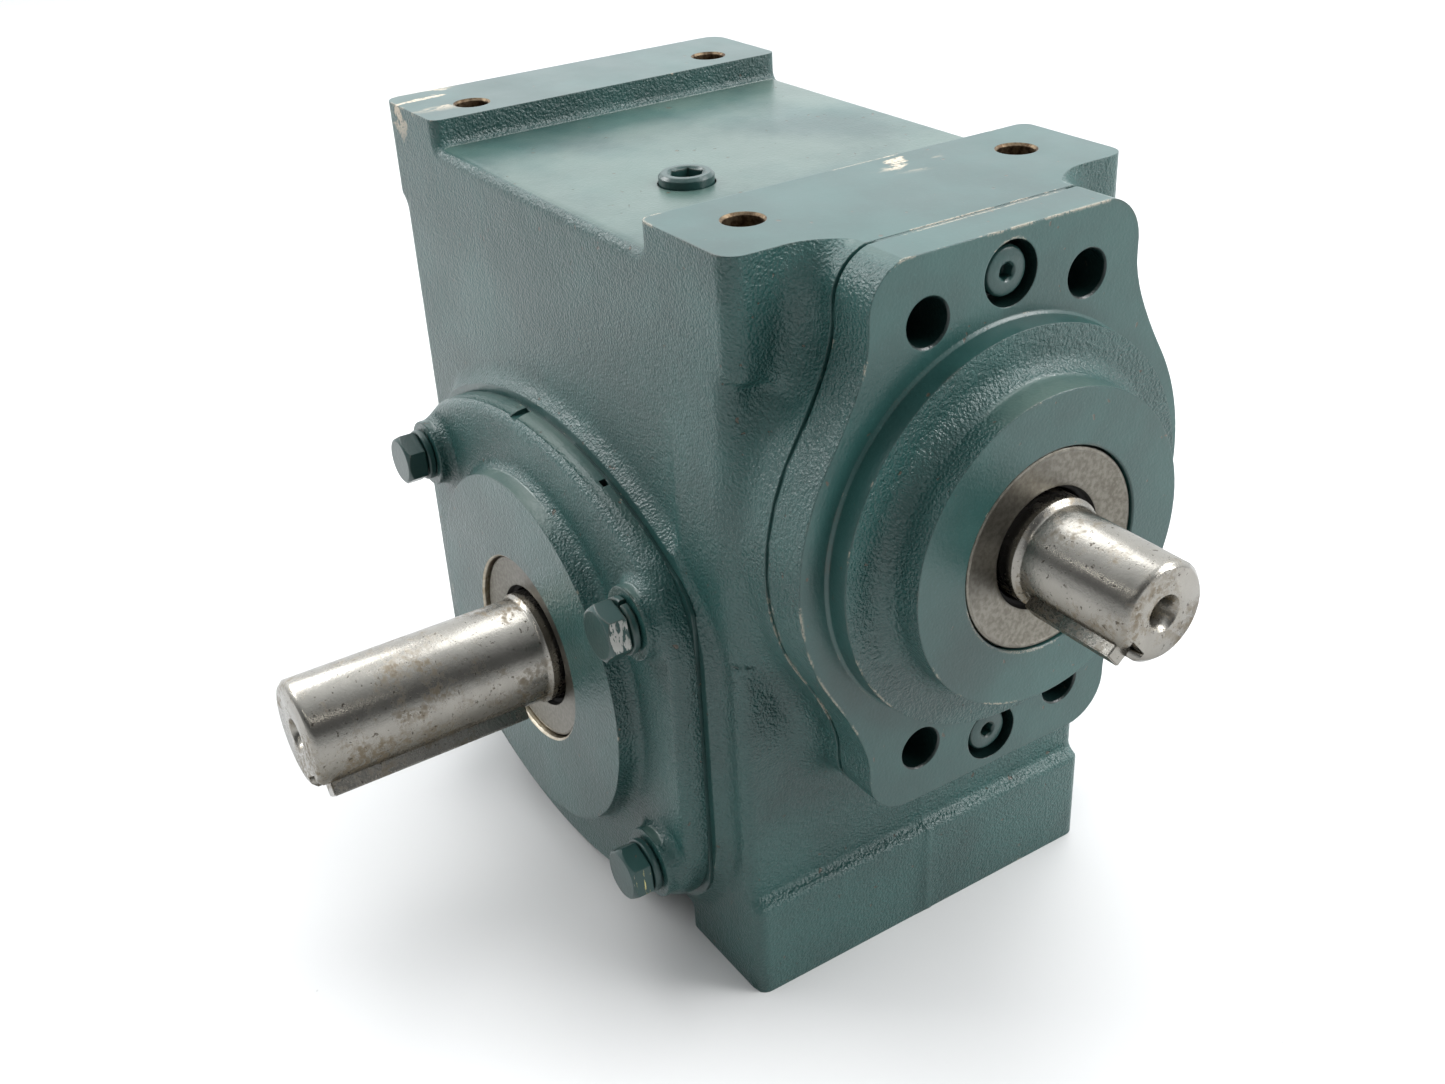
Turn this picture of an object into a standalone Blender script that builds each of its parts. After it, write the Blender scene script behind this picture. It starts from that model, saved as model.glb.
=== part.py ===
"""Right-angle worm gear reducer: a foot-mounted cast housing, a worm with its input shaft along +X,
and a worm wheel on an output shaft along -Y, with bearings, seals, covers and fasteners.

Metres, +Z up. The origin is the centre of the front foot's sole, under the input shaft.
"""

import bmesh
import bpy
from math import acos, atan2, cos, hypot, pi, radians, sin, sqrt, tan
from mathutils import Matrix, Vector

# Fits
GAP = 0.0003            # clearance between pieces that touch
SEAM = 0.0002           # clearance either side of a gasket
GASKET = 0.0006         # gasket thickness
GASKET_INSET = 0.0004   # gaskets stop this far inside the edges of what they seal

# Housing
WIDTH = 0.108           # across the pads and feet, along Y
HEIGHT = 0.195
LENGTH = 0.169          # along X, from the front pads to the rear pads
FRONT_PAD = 0.0336      # depth of the front pad and foot
REAR_PAD = 0.0319
PAD_STEP = 0.007        # how far the pads and feet stand proud of the recess
END_PAD_HEIGHT = 0.028  # height of a foot's end face
END_SETBACK = 0.003     # end walls lie this far behind the pads
STEP_FILLET = 0.003
CORNER_RADIUS = 0.005
WALL = 0.009
FLOOR = 0.0085          # thickness left between the cavity and each recess
SIDE_PAD_PROUD = 0.003  # cover seats stand this far off the side walls
SEAT_MARGIN = 0.0006    # how much wider a seat is than the piece bolted to it
REAR_BOSS_R = 0.034
REAR_BOSS_DEPTH = 0.026 # from the rear pads' face to the boss's inner end
SIDE_TAPPING_DEPTH = 0.012
FRONT_X = FRONT_PAD / 2
REAR_X = FRONT_X - LENGTH
SIDE_SEAT_Y = WIDTH / 2 + SIDE_PAD_PROUD

# Gearing
CENTRE_DISTANCE = 0.0603
MODULE = 0.003
WHEEL_TEETH = 30
PITCH = pi * MODULE
PRESSURE_ANGLE = radians(20)
WHEEL_PITCH_R = MODULE * WHEEL_TEETH / 2
WORM_PITCH_R = CENTRE_DISTANCE - WHEEL_PITCH_R
WORM_TIP_R = WORM_PITCH_R + MODULE
WORM_ROOT_R = WORM_PITCH_R - 1.2 * MODULE
TIP_CLEARANCE = 0.0006
FLANK_RELIEF = 0.00015  # taken off each flank, for backlash
WORM_HALF_LENGTH = 0.0245
WHEEL_HALF_FACE = 0.011
WHEEL_TIP_LIMIT = 0.050
WORM_Z = 0.1284
WHEEL_X = FRONT_X - 0.0832
WHEEL_Z = WORM_Z - CENTRE_DISTANCE

# Input flange, measured from the front pad's face
FLANGE_BACK_X = FRONT_X + 0.0106
FLANGE_FACE_X = FRONT_X + 0.0216
FLANGE_R = 0.054
FLANGE_LOBE_HALF = 0.036
FLANGE_HALF_HEIGHT = 0.0660
FLANGE_LOBE_CORNER = 0.011
FLANGE_NECK_FILLET = 0.010
FLANGE_HOLE_Y = 0.0214
FLANGE_HOLE_Z = 0.0519
FLANGE_SCREW_Z = 0.057
PILOT_R = 0.0471
BOSS_R = 0.0363
PILOT_PROUD = 0.0059
BOSS_FACE_X = FRONT_X + 0.0377
SPIGOT_R = 0.0327
SPIGOT_END_X = FRONT_X - 0.006
SEAL_POCKET_X = FRONT_X + 0.0272
BEARING_POCKET_X = FRONT_X + 0.0183
SCREW_R = 0.0031
SCREW_HOLE_R = 0.0036
SCREW_HEAD_R = 0.0054
COUNTERBORE_R = 0.0071
COUNTERBORE_DEPTH = 0.0075

# Output and blind covers, measured along Y from the mid-plane
COVER_BACK_Y = SIDE_SEAT_Y + 2 * SEAM + GASKET
COVER_RIM_Y = 0.0638
COVER_BOLT_SEAT_Y = 0.0682
COVER_DRAFT = 0.004     # the rim's front edge is this much smaller all round
OUTPUT_BOSS_Y = 0.0697
BLIND_BOSS_Y = 0.066
COVER_HALF_HEIGHT = 0.0645
COVER_BOLT_X = 0.056
COVER_BOLT_Z = 0.0357
COVER_CORNER_R = 0.0125
COVER_BOLT_PAD_R = 0.0092
COVER_BOSS_R = 0.0483
COVER_HUB_R = 0.038
COVER_SPIGOT_Y = 0.0505
SIDE_BORE_R = 0.052
CUP_POCKET_Y = 0.0583
SEAL_POCKET_Y = 0.061
NOTCH_XS = (-0.006, 0.033)
NOTCH_HALF_WIDTH = 0.003

# Shafts
INPUT_TIP_X = FRONT_X + 0.0691
INPUT_R = 0.0111125     # 7/8 in diameter
INPUT_KEY = 0.0047625   # 3/16 in square
INPUT_KEY_ANGLE = radians(220)
OUTPUT_TIP_Y = -0.1339
OUTPUT_R = 0.0142875    # 1 1/8 in diameter
OUTPUT_KEY = 0.00635    # 1/4 in square
OUTPUT_KEY_ANGLE = radians(-55)

# Tapered roller bearings and seals
WORM_JOURNAL_R = 0.0125
WORM_CUP_R = 0.026
WORM_BEARING_WIDTH = 0.01625
FRONT_BEARING_X = FRONT_X + 0.018
REAR_BEARING_X = REAR_X + 0.0095
OUTPUT_JOURNAL_R = 0.0158
OUTPUT_CUP_R = 0.031
OUTPUT_BEARING_WIDTH = 0.0168
OUTPUT_BEARING_Y = 0.058
ROLLERS = 12
INPUT_SEAL_R = 0.0234
OUTPUT_SEAL_R = 0.0254
OUTPUT_SEAL_SHAFT_R = 0.0152
SHOULDER_R = 0.016      # the worm shaft behind each bearing
WORM_STEM_R = 0.014

# Wheel mounting
HUB_SEAT_R = 0.019
COLLAR_R = 0.0215
HUB_RIM_R = 0.034
HUB_END_Y = 0.016
WHEEL_KEY = 0.008

# Pipe plugs
PLUG_R = 0.0082
PLUG_HOLE_R = 0.0086
PLUG_SOCKET_R = 0.0046

# Mounting holes: 1/2 in threads, shown as plain holes
MOUNT_HOLE_R = 0.0062
MOUNT_HOLE_DEPTH = 0.022
MOUNT_HOLE_XS = (FRONT_X - 0.0185, FRONT_X - 0.1478)
MOUNT_HOLE_Y = 0.0375

# Fasteners
BOLT_R = 0.0039
BOLT_HEAD_AF = 0.0127
BOLT_HEAD_HEIGHT = 0.0056
BOLT_HOLE_R = 0.0043
BOLT_LENGTH = 0.021
WASHER_THICK = 0.0022
WASHER_R = 0.0071

ROUND = 32              # sides of an ordinary turned piece
FINE = 36               # of a large one
COARSE = 8              # of a bolt hole
CLEAR = 0.01            # how far a cutter runs on past the surface
X_AXIS = Vector((1, 0, 0))
Y_AXIS = Vector((0, 1, 0))
Z_AXIS = Vector((0, 0, 1))


def clear_scene():
    for obj in list(bpy.data.objects):
        bpy.data.objects.remove(obj, do_unlink=True)


def material(name, colour, metallic, roughness):
    found = bpy.data.materials.get(name)
    if found:
        return found
    made = bpy.data.materials.new(name)
    made.use_nodes = True
    shader = made.node_tree.nodes["Principled BSDF"]
    shader.inputs["Base Color"].default_value = (*colour, 1)
    shader.inputs["Metallic"].default_value = metallic
    shader.inputs["Roughness"].default_value = roughness
    return made


def paint():
    return material("green_paint", (0.045, 0.12, 0.115), 0.0, 0.35)


def steel():
    return material("bare_steel", (0.48, 0.46, 0.42), 1.0, 0.3)


def bronze():
    return material("bronze", (0.55, 0.36, 0.14), 1.0, 0.35)


def iron():
    return material("grey_iron", (0.16, 0.16, 0.16), 0.8, 0.5)


def seal_case():
    return material("seal_case", (0.33, 0.33, 0.32), 0.9, 0.4)


def gasket_fibre():
    return material("gasket_fibre", (0.12, 0.11, 0.09), 0.0, 0.8)


def add_object(name, mesh_data, finish=None, cutter=False):
    """Makes an object from a bmesh, with its faces pointing out."""
    bmesh.ops.recalc_face_normals(mesh_data, faces=mesh_data.faces)
    if mesh_data.calc_volume(signed=True) < 0:
        bmesh.ops.reverse_faces(mesh_data, faces=mesh_data.faces)
    mesh = bpy.data.meshes.new(name)
    mesh_data.to_mesh(mesh)
    mesh_data.free()
    mesh.shade_smooth()
    mesh.set_sharp_from_angle(angle=radians(35))
    obj = bpy.data.objects.new(name, mesh)
    bpy.context.scene.collection.objects.link(obj)
    if finish:
        mesh.materials.append(finish)
    if cutter:
        obj.hide_render = True
        obj.display_type = "WIRE"
    return obj


def frame_along(axis, origin, spin=0.0):
    """A matrix whose +Z runs along axis from origin, turned by spin about that axis."""
    side = Y_AXIS if abs(axis.dot(X_AXIS)) > 0.5 else X_AXIS
    up = axis.cross(side)
    turn = Matrix((side, up, axis)).transposed().to_4x4()
    return Matrix.Translation(origin) @ turn @ Matrix.Rotation(spin, 4, "Z")


def ring_faces(mesh_data, rings, closed_profile):
    """Joins successive rings of points, and caps the two ends unless the profile closes on itself."""
    count = len(rings[0])
    pairs = list(zip(rings, rings[1:]))
    if closed_profile:
        pairs.append((rings[-1], rings[0]))
    for low, high in pairs:
        for i in range(count):
            j = (i + 1) % count
            mesh_data.faces.new((low[i], low[j], high[j], high[i]))
    if not closed_profile:
        mesh_data.faces.new(rings[0])
        mesh_data.faces.new(rings[-1])


def turned(name, profile, axis, origin, finish=None, closed=False, sides=ROUND, cutter=False):
    """A turned solid. The profile lists (distance along the axis, radius)."""
    data = bmesh.new()
    place = frame_along(axis, origin)
    rings = []
    for along, radius in profile:
        angles = (2 * pi * i / sides for i in range(sides))
        rings.append([data.verts.new(place @ Vector((radius * cos(a), radius * sin(a), along))) for a in angles])
    ring_faces(data, rings, closed)
    return add_object(name, data, finish, cutter)


def stack(name, levels, axis, origin, finish=None, cutter=False):
    """Outlines of (side, up) points joined in turn. Each level is (distance along the axis, outline)."""
    data = bmesh.new()
    place = frame_along(axis, origin)
    rings = []
    for along, outline in levels:
        rings.append([data.verts.new(place @ Vector((u, v, along))) for u, v in outline])
    ring_faces(data, rings, False)
    return add_object(name, data, finish, cutter)


def prism(name, outline, axis, origin, low, high, finish=None, cutter=False):
    """An outline of (side, up) points pushed along axis from low to high."""
    return stack(name, [(low, outline), (high, outline)], axis, origin, finish, cutter)


def block(name, low, high, finish=None, cutter=False):
    data = bmesh.new()
    bmesh.ops.create_cube(data, size=1)
    middle = (Vector(low) + Vector(high)) / 2
    size = Vector(high) - Vector(low)
    for vert in data.verts:
        vert.co = middle + Vector(a * b for a, b in zip(vert.co, size))
    return add_object(name, data, finish, cutter)


def combine(obj, other, operation="DIFFERENCE"):
    other.hide_render = True
    other.display_type = "WIRE"
    boolean = obj.modifiers.new(f"{operation.title()} {other.name}", "BOOLEAN")
    boolean.operation = operation
    boolean.solver = "EXACT"
    boolean.object = other


def drill(obj, name, axis, origin, low, high, radius, sides=12):
    hole = turned(name, [(low, radius), (high, radius)], axis, origin, sides=sides, cutter=True)
    combine(obj, hole)


def put_origin(obj, point):
    """Moves the object's origin without moving its shape."""
    obj.data.transform(Matrix.Translation(-Vector(point)))
    obj.location = point


def arc(centre, radius, start, end, steps):
    """Points along an arc, both ends included, angles in radians."""
    angles = (start + (end - start) * i / steps for i in range(steps + 1))
    return [(centre[0] + radius * cos(a), centre[1] + radius * sin(a)) for a in angles]


def mirrored(quarter):
    """A closed outline from its first quarter, which runs from the +side axis round to the +up axis."""
    left = [(-u, v) for u, v in reversed(quarter)]
    upper = quarter + [point for point in left if abs(point[0]) > 1e-7]
    lower = [(u, -v) for u, v in reversed(upper) if abs(v) > 1e-7]
    return upper + lower


def flange_outline(grow=0.0):
    """A round flange with a square-shouldered lobe above and below."""
    radius = FLANGE_R + grow
    half = FLANGE_LOBE_HALF + grow
    top = FLANGE_HALF_HEIGHT + grow
    corner = FLANGE_LOBE_CORNER + grow
    fillet = FLANGE_NECK_FILLET - grow
    fillet_u = half + fillet
    fillet_v = sqrt((radius + fillet) ** 2 - fillet_u ** 2)
    neck = atan2(fillet_v, fillet_u)
    points = arc((0, 0), radius, 0, neck, 5)
    points += arc((fillet_u, fillet_v), fillet, pi + neck, pi, 2)[1:]
    points += arc((half - corner, top - corner), corner, 0, pi / 2, 3)
    return mirrored(points)


def cover_outline(grow=0.0):
    """Straight ends, a crowned top and bottom, and a corner round each bolt."""
    corner = COVER_CORNER_R + grow
    top = COVER_HALF_HEIGHT + grow
    drop = top - COVER_BOLT_Z
    crown = (COVER_BOLT_X ** 2 + drop ** 2 - corner ** 2) / (2 * (drop - corner))
    lean = atan2(COVER_BOLT_Z - top + crown, COVER_BOLT_X)
    points = arc((COVER_BOLT_X, COVER_BOLT_Z), corner, 0, lean, 3)
    points += arc((0, top - crown), crown, lean, pi / 2, 4)[1:]
    return mirrored(points)


def side_of(sign):
    """The axis, and the point on the mid-plane, for pieces on the side at sign * Y."""
    return Y_AXIS * sign, Vector((WHEEL_X, 0, WHEEL_Z))


def cover_bolt_places():
    """The (side, up) places of a cover's four bolts."""
    return [(u * COVER_BOLT_X, v * COVER_BOLT_Z) for u in (1, -1) for v in (1, -1)]


def cover_point(sign, place):
    axis, middle = side_of(sign)
    return frame_along(axis, middle) @ Vector((place[0], place[1], 0))


def housing_profile():
    """The casting seen along Y: feet below, pads above, shallow recesses between and end walls set back."""
    front, rear = FRONT_X, REAR_X
    inner_front = front - FRONT_PAD
    inner_rear = rear + REAR_PAD
    pad, step, fillet, back = END_PAD_HEIGHT, PAD_STEP, STEP_FILLET, END_SETBACK
    bottom_half = [
        (inner_rear, 0), (rear, 0), (rear, pad), (rear + back, pad + back),
    ]
    right_half = [
        (front - back, pad + back), (front, pad), (front, 0), (inner_front, 0),
        (inner_front, step - fillet), (inner_front - fillet, step),
        (inner_rear + fillet, step), (inner_rear, step - fillet),
    ]
    lower = right_half + bottom_half
    upper = [(x, HEIGHT - z) for x, z in reversed(lower)]
    return lower + upper


def rounded_plan():
    """The casting seen from above, with rounded vertical corners."""
    half_length, half_width = LENGTH / 2, WIDTH / 2
    corner = arc((half_length - CORNER_RADIUS, half_width - CORNER_RADIUS), CORNER_RADIUS, 0, pi / 2, 3)
    return mirrored(corner)


def make_housing():
    outline = [(x, -z) for x, z in housing_profile()]
    housing = prism("housing", outline, Y_AXIS, Vector((0, 0, 0)), -WIDTH / 2, WIDTH / 2, paint())
    middle = Vector(((FRONT_X + REAR_X) / 2, 0, 0))
    plan = prism("plan_guide", rounded_plan(), Z_AXIS, middle, -0.01, HEIGHT + 0.01, cutter=True)
    combine(housing, plan, "INTERSECT")
    add_housing_bosses(housing)
    cut_housing_cavity(housing)
    cut_housing_holes(housing)
    return housing


def add_housing_bosses(housing):
    worm_line = Vector((0, 0, WORM_Z))
    front = prism("front_boss", flange_outline(SEAT_MARGIN), X_AXIS, worm_line, FRONT_X - WALL,
                  FLANGE_BACK_X - 2 * SEAM - GASKET, cutter=True)
    combine(housing, front, "UNION")
    for sign in (1, -1):
        axis, middle = side_of(sign)
        seat = prism(f"side_seat{sign}", cover_outline(SEAT_MARGIN), axis, middle, (WIDTH - WALL) / 2, SIDE_SEAT_Y,
                     cutter=True)
        combine(housing, seat, "UNION")


def cut_housing_cavity(housing):
    wall_front = FRONT_X - END_SETBACK - WALL
    wall_rear = REAR_X + END_SETBACK + WALL
    floor = PAD_STEP + FLOOR
    cavity = block("cavity", (wall_rear, WALL - WIDTH / 2, floor),
                   (wall_front, WIDTH / 2 - WALL, HEIGHT - floor), cutter=True)
    combine(housing, cavity)
    worm_line = Vector((0, 0, WORM_Z))
    boss = turned("rear_bearing_boss", [(REAR_X + WALL / 2, REAR_BOSS_R), (REAR_X + REAR_BOSS_DEPTH, REAR_BOSS_R)],
                  X_AXIS, worm_line, cutter=True)
    combine(housing, boss, "UNION")
    drill(housing, "side_bore", Y_AXIS, side_of(1)[1], -WIDTH, WIDTH, SIDE_BORE_R, FINE)
    drill(housing, "front_bore", X_AXIS, worm_line, wall_front - WALL, FLANGE_BACK_X, SPIGOT_R + GAP, ROUND)
    drill(housing, "rear_bore", X_AXIS, worm_line, REAR_X - WALL, REAR_X + 2 * REAR_BOSS_DEPTH, WORM_CUP_R + GAP,
          ROUND)


def cut_housing_holes(housing):
    for i, x in enumerate(MOUNT_HOLE_XS):
        for j, y in enumerate((-MOUNT_HOLE_Y, MOUNT_HOLE_Y)):
            place = Vector((x, y, 0))
            drill(housing, f"pad_hole{i}{j}", Z_AXIS, place, HEIGHT - MOUNT_HOLE_DEPTH, HEIGHT + CLEAR, MOUNT_HOLE_R)
            drill(housing, f"foot_hole{i}{j}", Z_AXIS, place, -CLEAR, MOUNT_HOLE_DEPTH, MOUNT_HOLE_R)
    for sign in (1, -1):
        axis = side_of(sign)[0]
        for i, place in enumerate(cover_bolt_places()):
            drill(housing, f"tapping{sign}{i}", axis, cover_point(sign, place), WIDTH / 2 - SIDE_TAPPING_DEPTH,
                  SIDE_SEAT_Y + CLEAR, BOLT_HOLE_R, COARSE)
    for sign in (1, -1):
        place = Vector((0, 0, WORM_Z + sign * FLANGE_SCREW_Z))
        drill(housing, f"screw_tapping{sign}", X_AXIS, place, FRONT_X - 0.012, FLANGE_BACK_X, SCREW_HOLE_R, COARSE)
    for name, axis, place in plug_places():
        drill(housing, f"{name}_hole", axis, place, -2 * WALL, CLEAR, PLUG_HOLE_R)


def plug_places():
    """Each pipe plug's name, outward axis and the point where it meets the casting."""
    rear_wall = REAR_X + END_SETBACK
    return [
        ("fill_plug", Z_AXIS, Vector((FRONT_X - 0.068, -0.0205, HEIGHT - PAD_STEP))),
        ("level_plug", -X_AXIS, Vector((rear_wall, 0.034, 0.088))),
        ("drain_plug", -X_AXIS, Vector((rear_wall, 0.0, 0.045))),
    ]


def make_plug(name, axis, place):
    """A tapered pipe plug with a hex socket."""
    chamfer = 0.0005
    plug = turned(name, [(-WALL, PLUG_R - GAP), (0, PLUG_R), (chamfer, PLUG_R - chamfer)], axis, place, paint(),
                  sides=24)
    socket = turned(f"{name}_socket", [(-0.005, PLUG_SOCKET_R), (CLEAR, PLUG_SOCKET_R)], axis, place, sides=6,
                    cutter=True)
    combine(plug, socket)


def make_input_flange():
    worm_line = Vector((0, 0, WORM_Z))
    flange = prism("input_flange", flange_outline(), X_AXIS, worm_line, FLANGE_BACK_X, FLANGE_FACE_X, paint())
    x = FLANGE_FACE_X
    face, edge = x + PILOT_PROUD, 0.0008
    sweep = [(0.0002, 0.0415), (0.0015, 0.0390), (0.0040, 0.0371), (0.0065, BOSS_R)]
    neck = turned("flange_neck", [
        (SPIGOT_END_X, SPIGOT_R), (x - 0.005, SPIGOT_R), (x - 0.005, PILOT_R), (face - edge, PILOT_R),
        (face, PILOT_R - edge), *((face + along, radius) for along, radius in sweep),
        (BOSS_FACE_X - edge, BOSS_R), (BOSS_FACE_X, BOSS_R - edge)], X_AXIS, worm_line, cutter=True)
    combine(flange, neck, "UNION")
    pocket, throat, seal = WORM_CUP_R + GAP, 0.020, INPUT_SEAL_R + GAP
    bore = turned("flange_bore", [
        (SPIGOT_END_X - CLEAR, pocket), (BEARING_POCKET_X, pocket), (BEARING_POCKET_X, throat),
        (SEAL_POCKET_X, throat), (SEAL_POCKET_X, seal), (BOSS_FACE_X + CLEAR, seal)],
        X_AXIS, worm_line, sides=24, cutter=True)
    combine(flange, bore)
    for i, (y, z) in enumerate((u, v) for u in (1, -1) for v in (1, -1)):
        place = Vector((0, y * FLANGE_HOLE_Y, WORM_Z + z * FLANGE_HOLE_Z))
        drill(flange, f"flange_hole{i}", X_AXIS, place, FLANGE_BACK_X - CLEAR, x + CLEAR, MOUNT_HOLE_R)
    for sign in (1, -1):
        place = Vector((0, 0, WORM_Z + sign * FLANGE_SCREW_Z))
        counterbore = turned(f"counterbore{sign}", [
            (FLANGE_BACK_X - CLEAR, SCREW_HOLE_R), (x - COUNTERBORE_DEPTH, SCREW_HOLE_R),
            (x - COUNTERBORE_DEPTH, COUNTERBORE_R), (x + CLEAR, COUNTERBORE_R)], X_AXIS, place, sides=20, cutter=True)
        combine(flange, counterbore)


def make_flange_screws():
    """Socket-head screws sunk in the flange's counterbores."""
    seat = FLANGE_FACE_X - COUNTERBORE_DEPTH + GAP
    head, chamfer = 0.006, 0.0005
    for word, sign in (("top", 1), ("bottom", -1)):
        place = Vector((0, 0, WORM_Z + sign * FLANGE_SCREW_Z))
        name = f"flange_screw_{word}"
        screw = turned(name, [
            (FRONT_X - WALL, SCREW_R), (seat, SCREW_R), (seat, SCREW_HEAD_R), (seat + head - chamfer, SCREW_HEAD_R),
            (seat + head, SCREW_HEAD_R - chamfer)], X_AXIS, place, paint(), sides=16)
        socket = turned(f"{name}_socket", [(seat + head / 2, 0.0028), (FLANGE_FACE_X + CLEAR, 0.0028)], X_AXIS, place,
                        sides=6, cutter=True)
        combine(screw, socket)


def make_cover(name, sign, boss_y):
    """A side cover with its bearing hub, spigot, raised boss and bolt pads."""
    axis, middle = side_of(sign)
    edge = 0.001
    cover = stack(name, [
        (COVER_BACK_Y, cover_outline()), (COVER_BACK_Y + 2 * edge, cover_outline()),
        (COVER_RIM_Y - edge, cover_outline(1.5 * edge - COVER_DRAFT)), (COVER_RIM_Y, cover_outline(-COVER_DRAFT))],
        axis, middle, paint())
    spigot_r = SIDE_BORE_R - GAP - SEAM
    hub = turned(f"{name}_hub", [
        (OUTPUT_BEARING_Y - OUTPUT_BEARING_WIDTH - GAP, COVER_HUB_R), (COVER_SPIGOT_Y, COVER_HUB_R),
        (COVER_SPIGOT_Y, spigot_r), (COVER_RIM_Y - 2 * edge, spigot_r), (COVER_RIM_Y + edge, spigot_r - edge),
        (boss_y - edge, COVER_BOSS_R), (boss_y, COVER_BOSS_R - edge)], axis, middle, sides=FINE, cutter=True)
    combine(cover, hub, "UNION")
    for i, place in enumerate(cover_bolt_places()):
        point = cover_point(sign, place)
        pad = turned(f"{name}_pad{i}", [
            (COVER_BACK_Y + edge, COVER_BOLT_PAD_R), (COVER_BOLT_SEAT_Y - edge, COVER_BOLT_PAD_R - 0.4 * edge),
            (COVER_BOLT_SEAT_Y, COVER_BOLT_PAD_R - 1.2 * edge)], axis, point, sides=16, cutter=True)
        combine(cover, pad, "UNION")
        drill(cover, f"{name}_bolt_hole{i}", axis, point, COVER_SPIGOT_Y, COVER_BOLT_SEAT_Y + CLEAR, BOLT_HOLE_R,
              COARSE)
    cut_pry_notches(cover, sign)
    return cover


def cut_pry_notches(cover, sign):
    """Small notches in the rim's upper edge, against the housing."""
    near, far = sorted((sign * (COVER_BACK_Y - 0.001), sign * (COVER_BACK_Y + 0.003)))
    top = WHEEL_Z + COVER_HALF_HEIGHT
    for i, offset in enumerate(NOTCH_XS):
        x = WHEEL_X + offset
        notch = block(f"{cover.name}_notch{i}", (x - NOTCH_HALF_WIDTH, near, top - 0.005),
                      (x + NOTCH_HALF_WIDTH, far, top + CLEAR), cutter=True)
        combine(cover, notch)


def cut_cover_bore(cover, sign, seal_pocket):
    """The cup's pocket and a throat behind it, and the seal's pocket in the cover that the shaft passes through."""
    axis, middle = side_of(sign)
    pocket, throat = OUTPUT_CUP_R + GAP, 0.022
    stations = [(0.03, pocket), (CUP_POCKET_Y, pocket), (CUP_POCKET_Y, throat), (SEAL_POCKET_Y, throat)]
    if seal_pocket:
        stations += [(SEAL_POCKET_Y, OUTPUT_SEAL_R + GAP), (OUTPUT_BOSS_Y + CLEAR, OUTPUT_SEAL_R + GAP)]
    combine(cover, turned(f"{cover.name}_bore", stations, axis, middle, cutter=True))


def make_covers():
    cut_cover_bore(make_cover("output_cover", -1, OUTPUT_BOSS_Y), -1, True)
    cut_cover_bore(make_cover("blind_cover", 1, BLIND_BOSS_Y), 1, False)


def make_gaskets():
    for name, sign in (("output_gasket", -1), ("blind_gasket", 1)):
        axis, middle = side_of(sign)
        low = SIDE_SEAT_Y + SEAM
        gasket = prism(name, cover_outline(-GASKET_INSET), axis, middle, low, low + GASKET, gasket_fibre())
        drill(gasket, f"{name}_bore", axis, middle, low - CLEAR, low + CLEAR, SIDE_BORE_R, FINE)
        for i, place in enumerate(cover_bolt_places()):
            point = cover_point(sign, place)
            drill(gasket, f"{name}_hole{i}", axis, point, low - CLEAR, low + CLEAR, BOLT_HOLE_R, COARSE)
    worm_line = Vector((0, 0, WORM_Z))
    high = FLANGE_BACK_X - SEAM
    gasket = prism("input_gasket", flange_outline(-GASKET_INSET), X_AXIS, worm_line, high - GASKET, high,
                   gasket_fibre())
    drill(gasket, "input_gasket_bore", X_AXIS, worm_line, high - CLEAR, high + CLEAR, SPIGOT_R + GAP, ROUND)
    for sign in (1, -1):
        place = Vector((0, 0, WORM_Z + sign * FLANGE_SCREW_Z))
        drill(gasket, f"input_gasket_hole{sign}", X_AXIS, place, high - CLEAR, high + CLEAR, SCREW_HOLE_R, COARSE)


def make_bolt(name, axis, point, seat):
    """A hex-head bolt whose head's underside is at seat along axis."""
    apothem = BOLT_HEAD_AF / 2
    turn = radians(12)
    chamfer = 0.0008
    data = bmesh.new()
    place = frame_along(axis, point)
    stations = [
        (seat - BOLT_LENGTH, BOLT_R, False), (seat, BOLT_R, False),
        (seat, apothem, True), (seat + BOLT_HEAD_HEIGHT - chamfer, apothem, True),
        (seat + BOLT_HEAD_HEIGHT, apothem * 0.97, False),
    ]
    rings = []
    for along, radius, hexagonal in stations:
        ring = []
        for i in range(12):
            reach = radius / cos(pi / 6) if hexagonal and i % 2 else radius
            angle = pi * i / 6 + turn
            ring.append(data.verts.new(place @ Vector((reach * cos(angle), reach * sin(angle), along))))
        rings.append(ring)
    ring_faces(data, rings, False)
    add_object(name, data, paint())


def make_lock_washer(name, axis, point, low):
    """A split spring washer, its two ends slightly apart."""
    data = bmesh.new()
    place = frame_along(axis, point)
    steps = 10
    split = radians(12)
    inner = BOLT_R + GAP + SEAM
    rings = []
    for i in range(steps + 1):
        angle = split / 2 + (2 * pi - split) * i / steps
        corners = [(inner, low), (WASHER_R, low), (WASHER_R, low + WASHER_THICK), (inner, low + WASHER_THICK)]
        rings.append([data.verts.new(place @ Vector((r * cos(angle), r * sin(angle), z))) for r, z in corners])
    ring_faces(data, rings, False)
    add_object(name, data, paint())


def make_cover_fasteners():
    for word, sign in (("output", -1), ("blind", 1)):
        axis = side_of(sign)[0]
        for i, place in enumerate(cover_bolt_places(), start=1):
            point = cover_point(sign, place)
            make_lock_washer(f"{word}_cover_washer_{i}", axis, point, COVER_BOLT_SEAT_Y + SEAM)
            make_bolt(f"{word}_cover_bolt_{i}", axis, point, COVER_BOLT_SEAT_Y + WASHER_THICK + 2 * SEAM)


def make_seal(name, axis, origin, low, high, outer, shaft):
    """A metal-cased lip seal: an open case outside and a lip close to the shaft."""
    lip = shaft + GAP + SEAM
    mouth = lip + 0.0008
    turned(name, [
        (low, outer), (high, outer), (high, mouth), (high - 0.0022, mouth), (low + 0.0028, lip), (low, mouth)],
        axis, origin, seal_case(), closed=True, sides=24)


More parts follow.
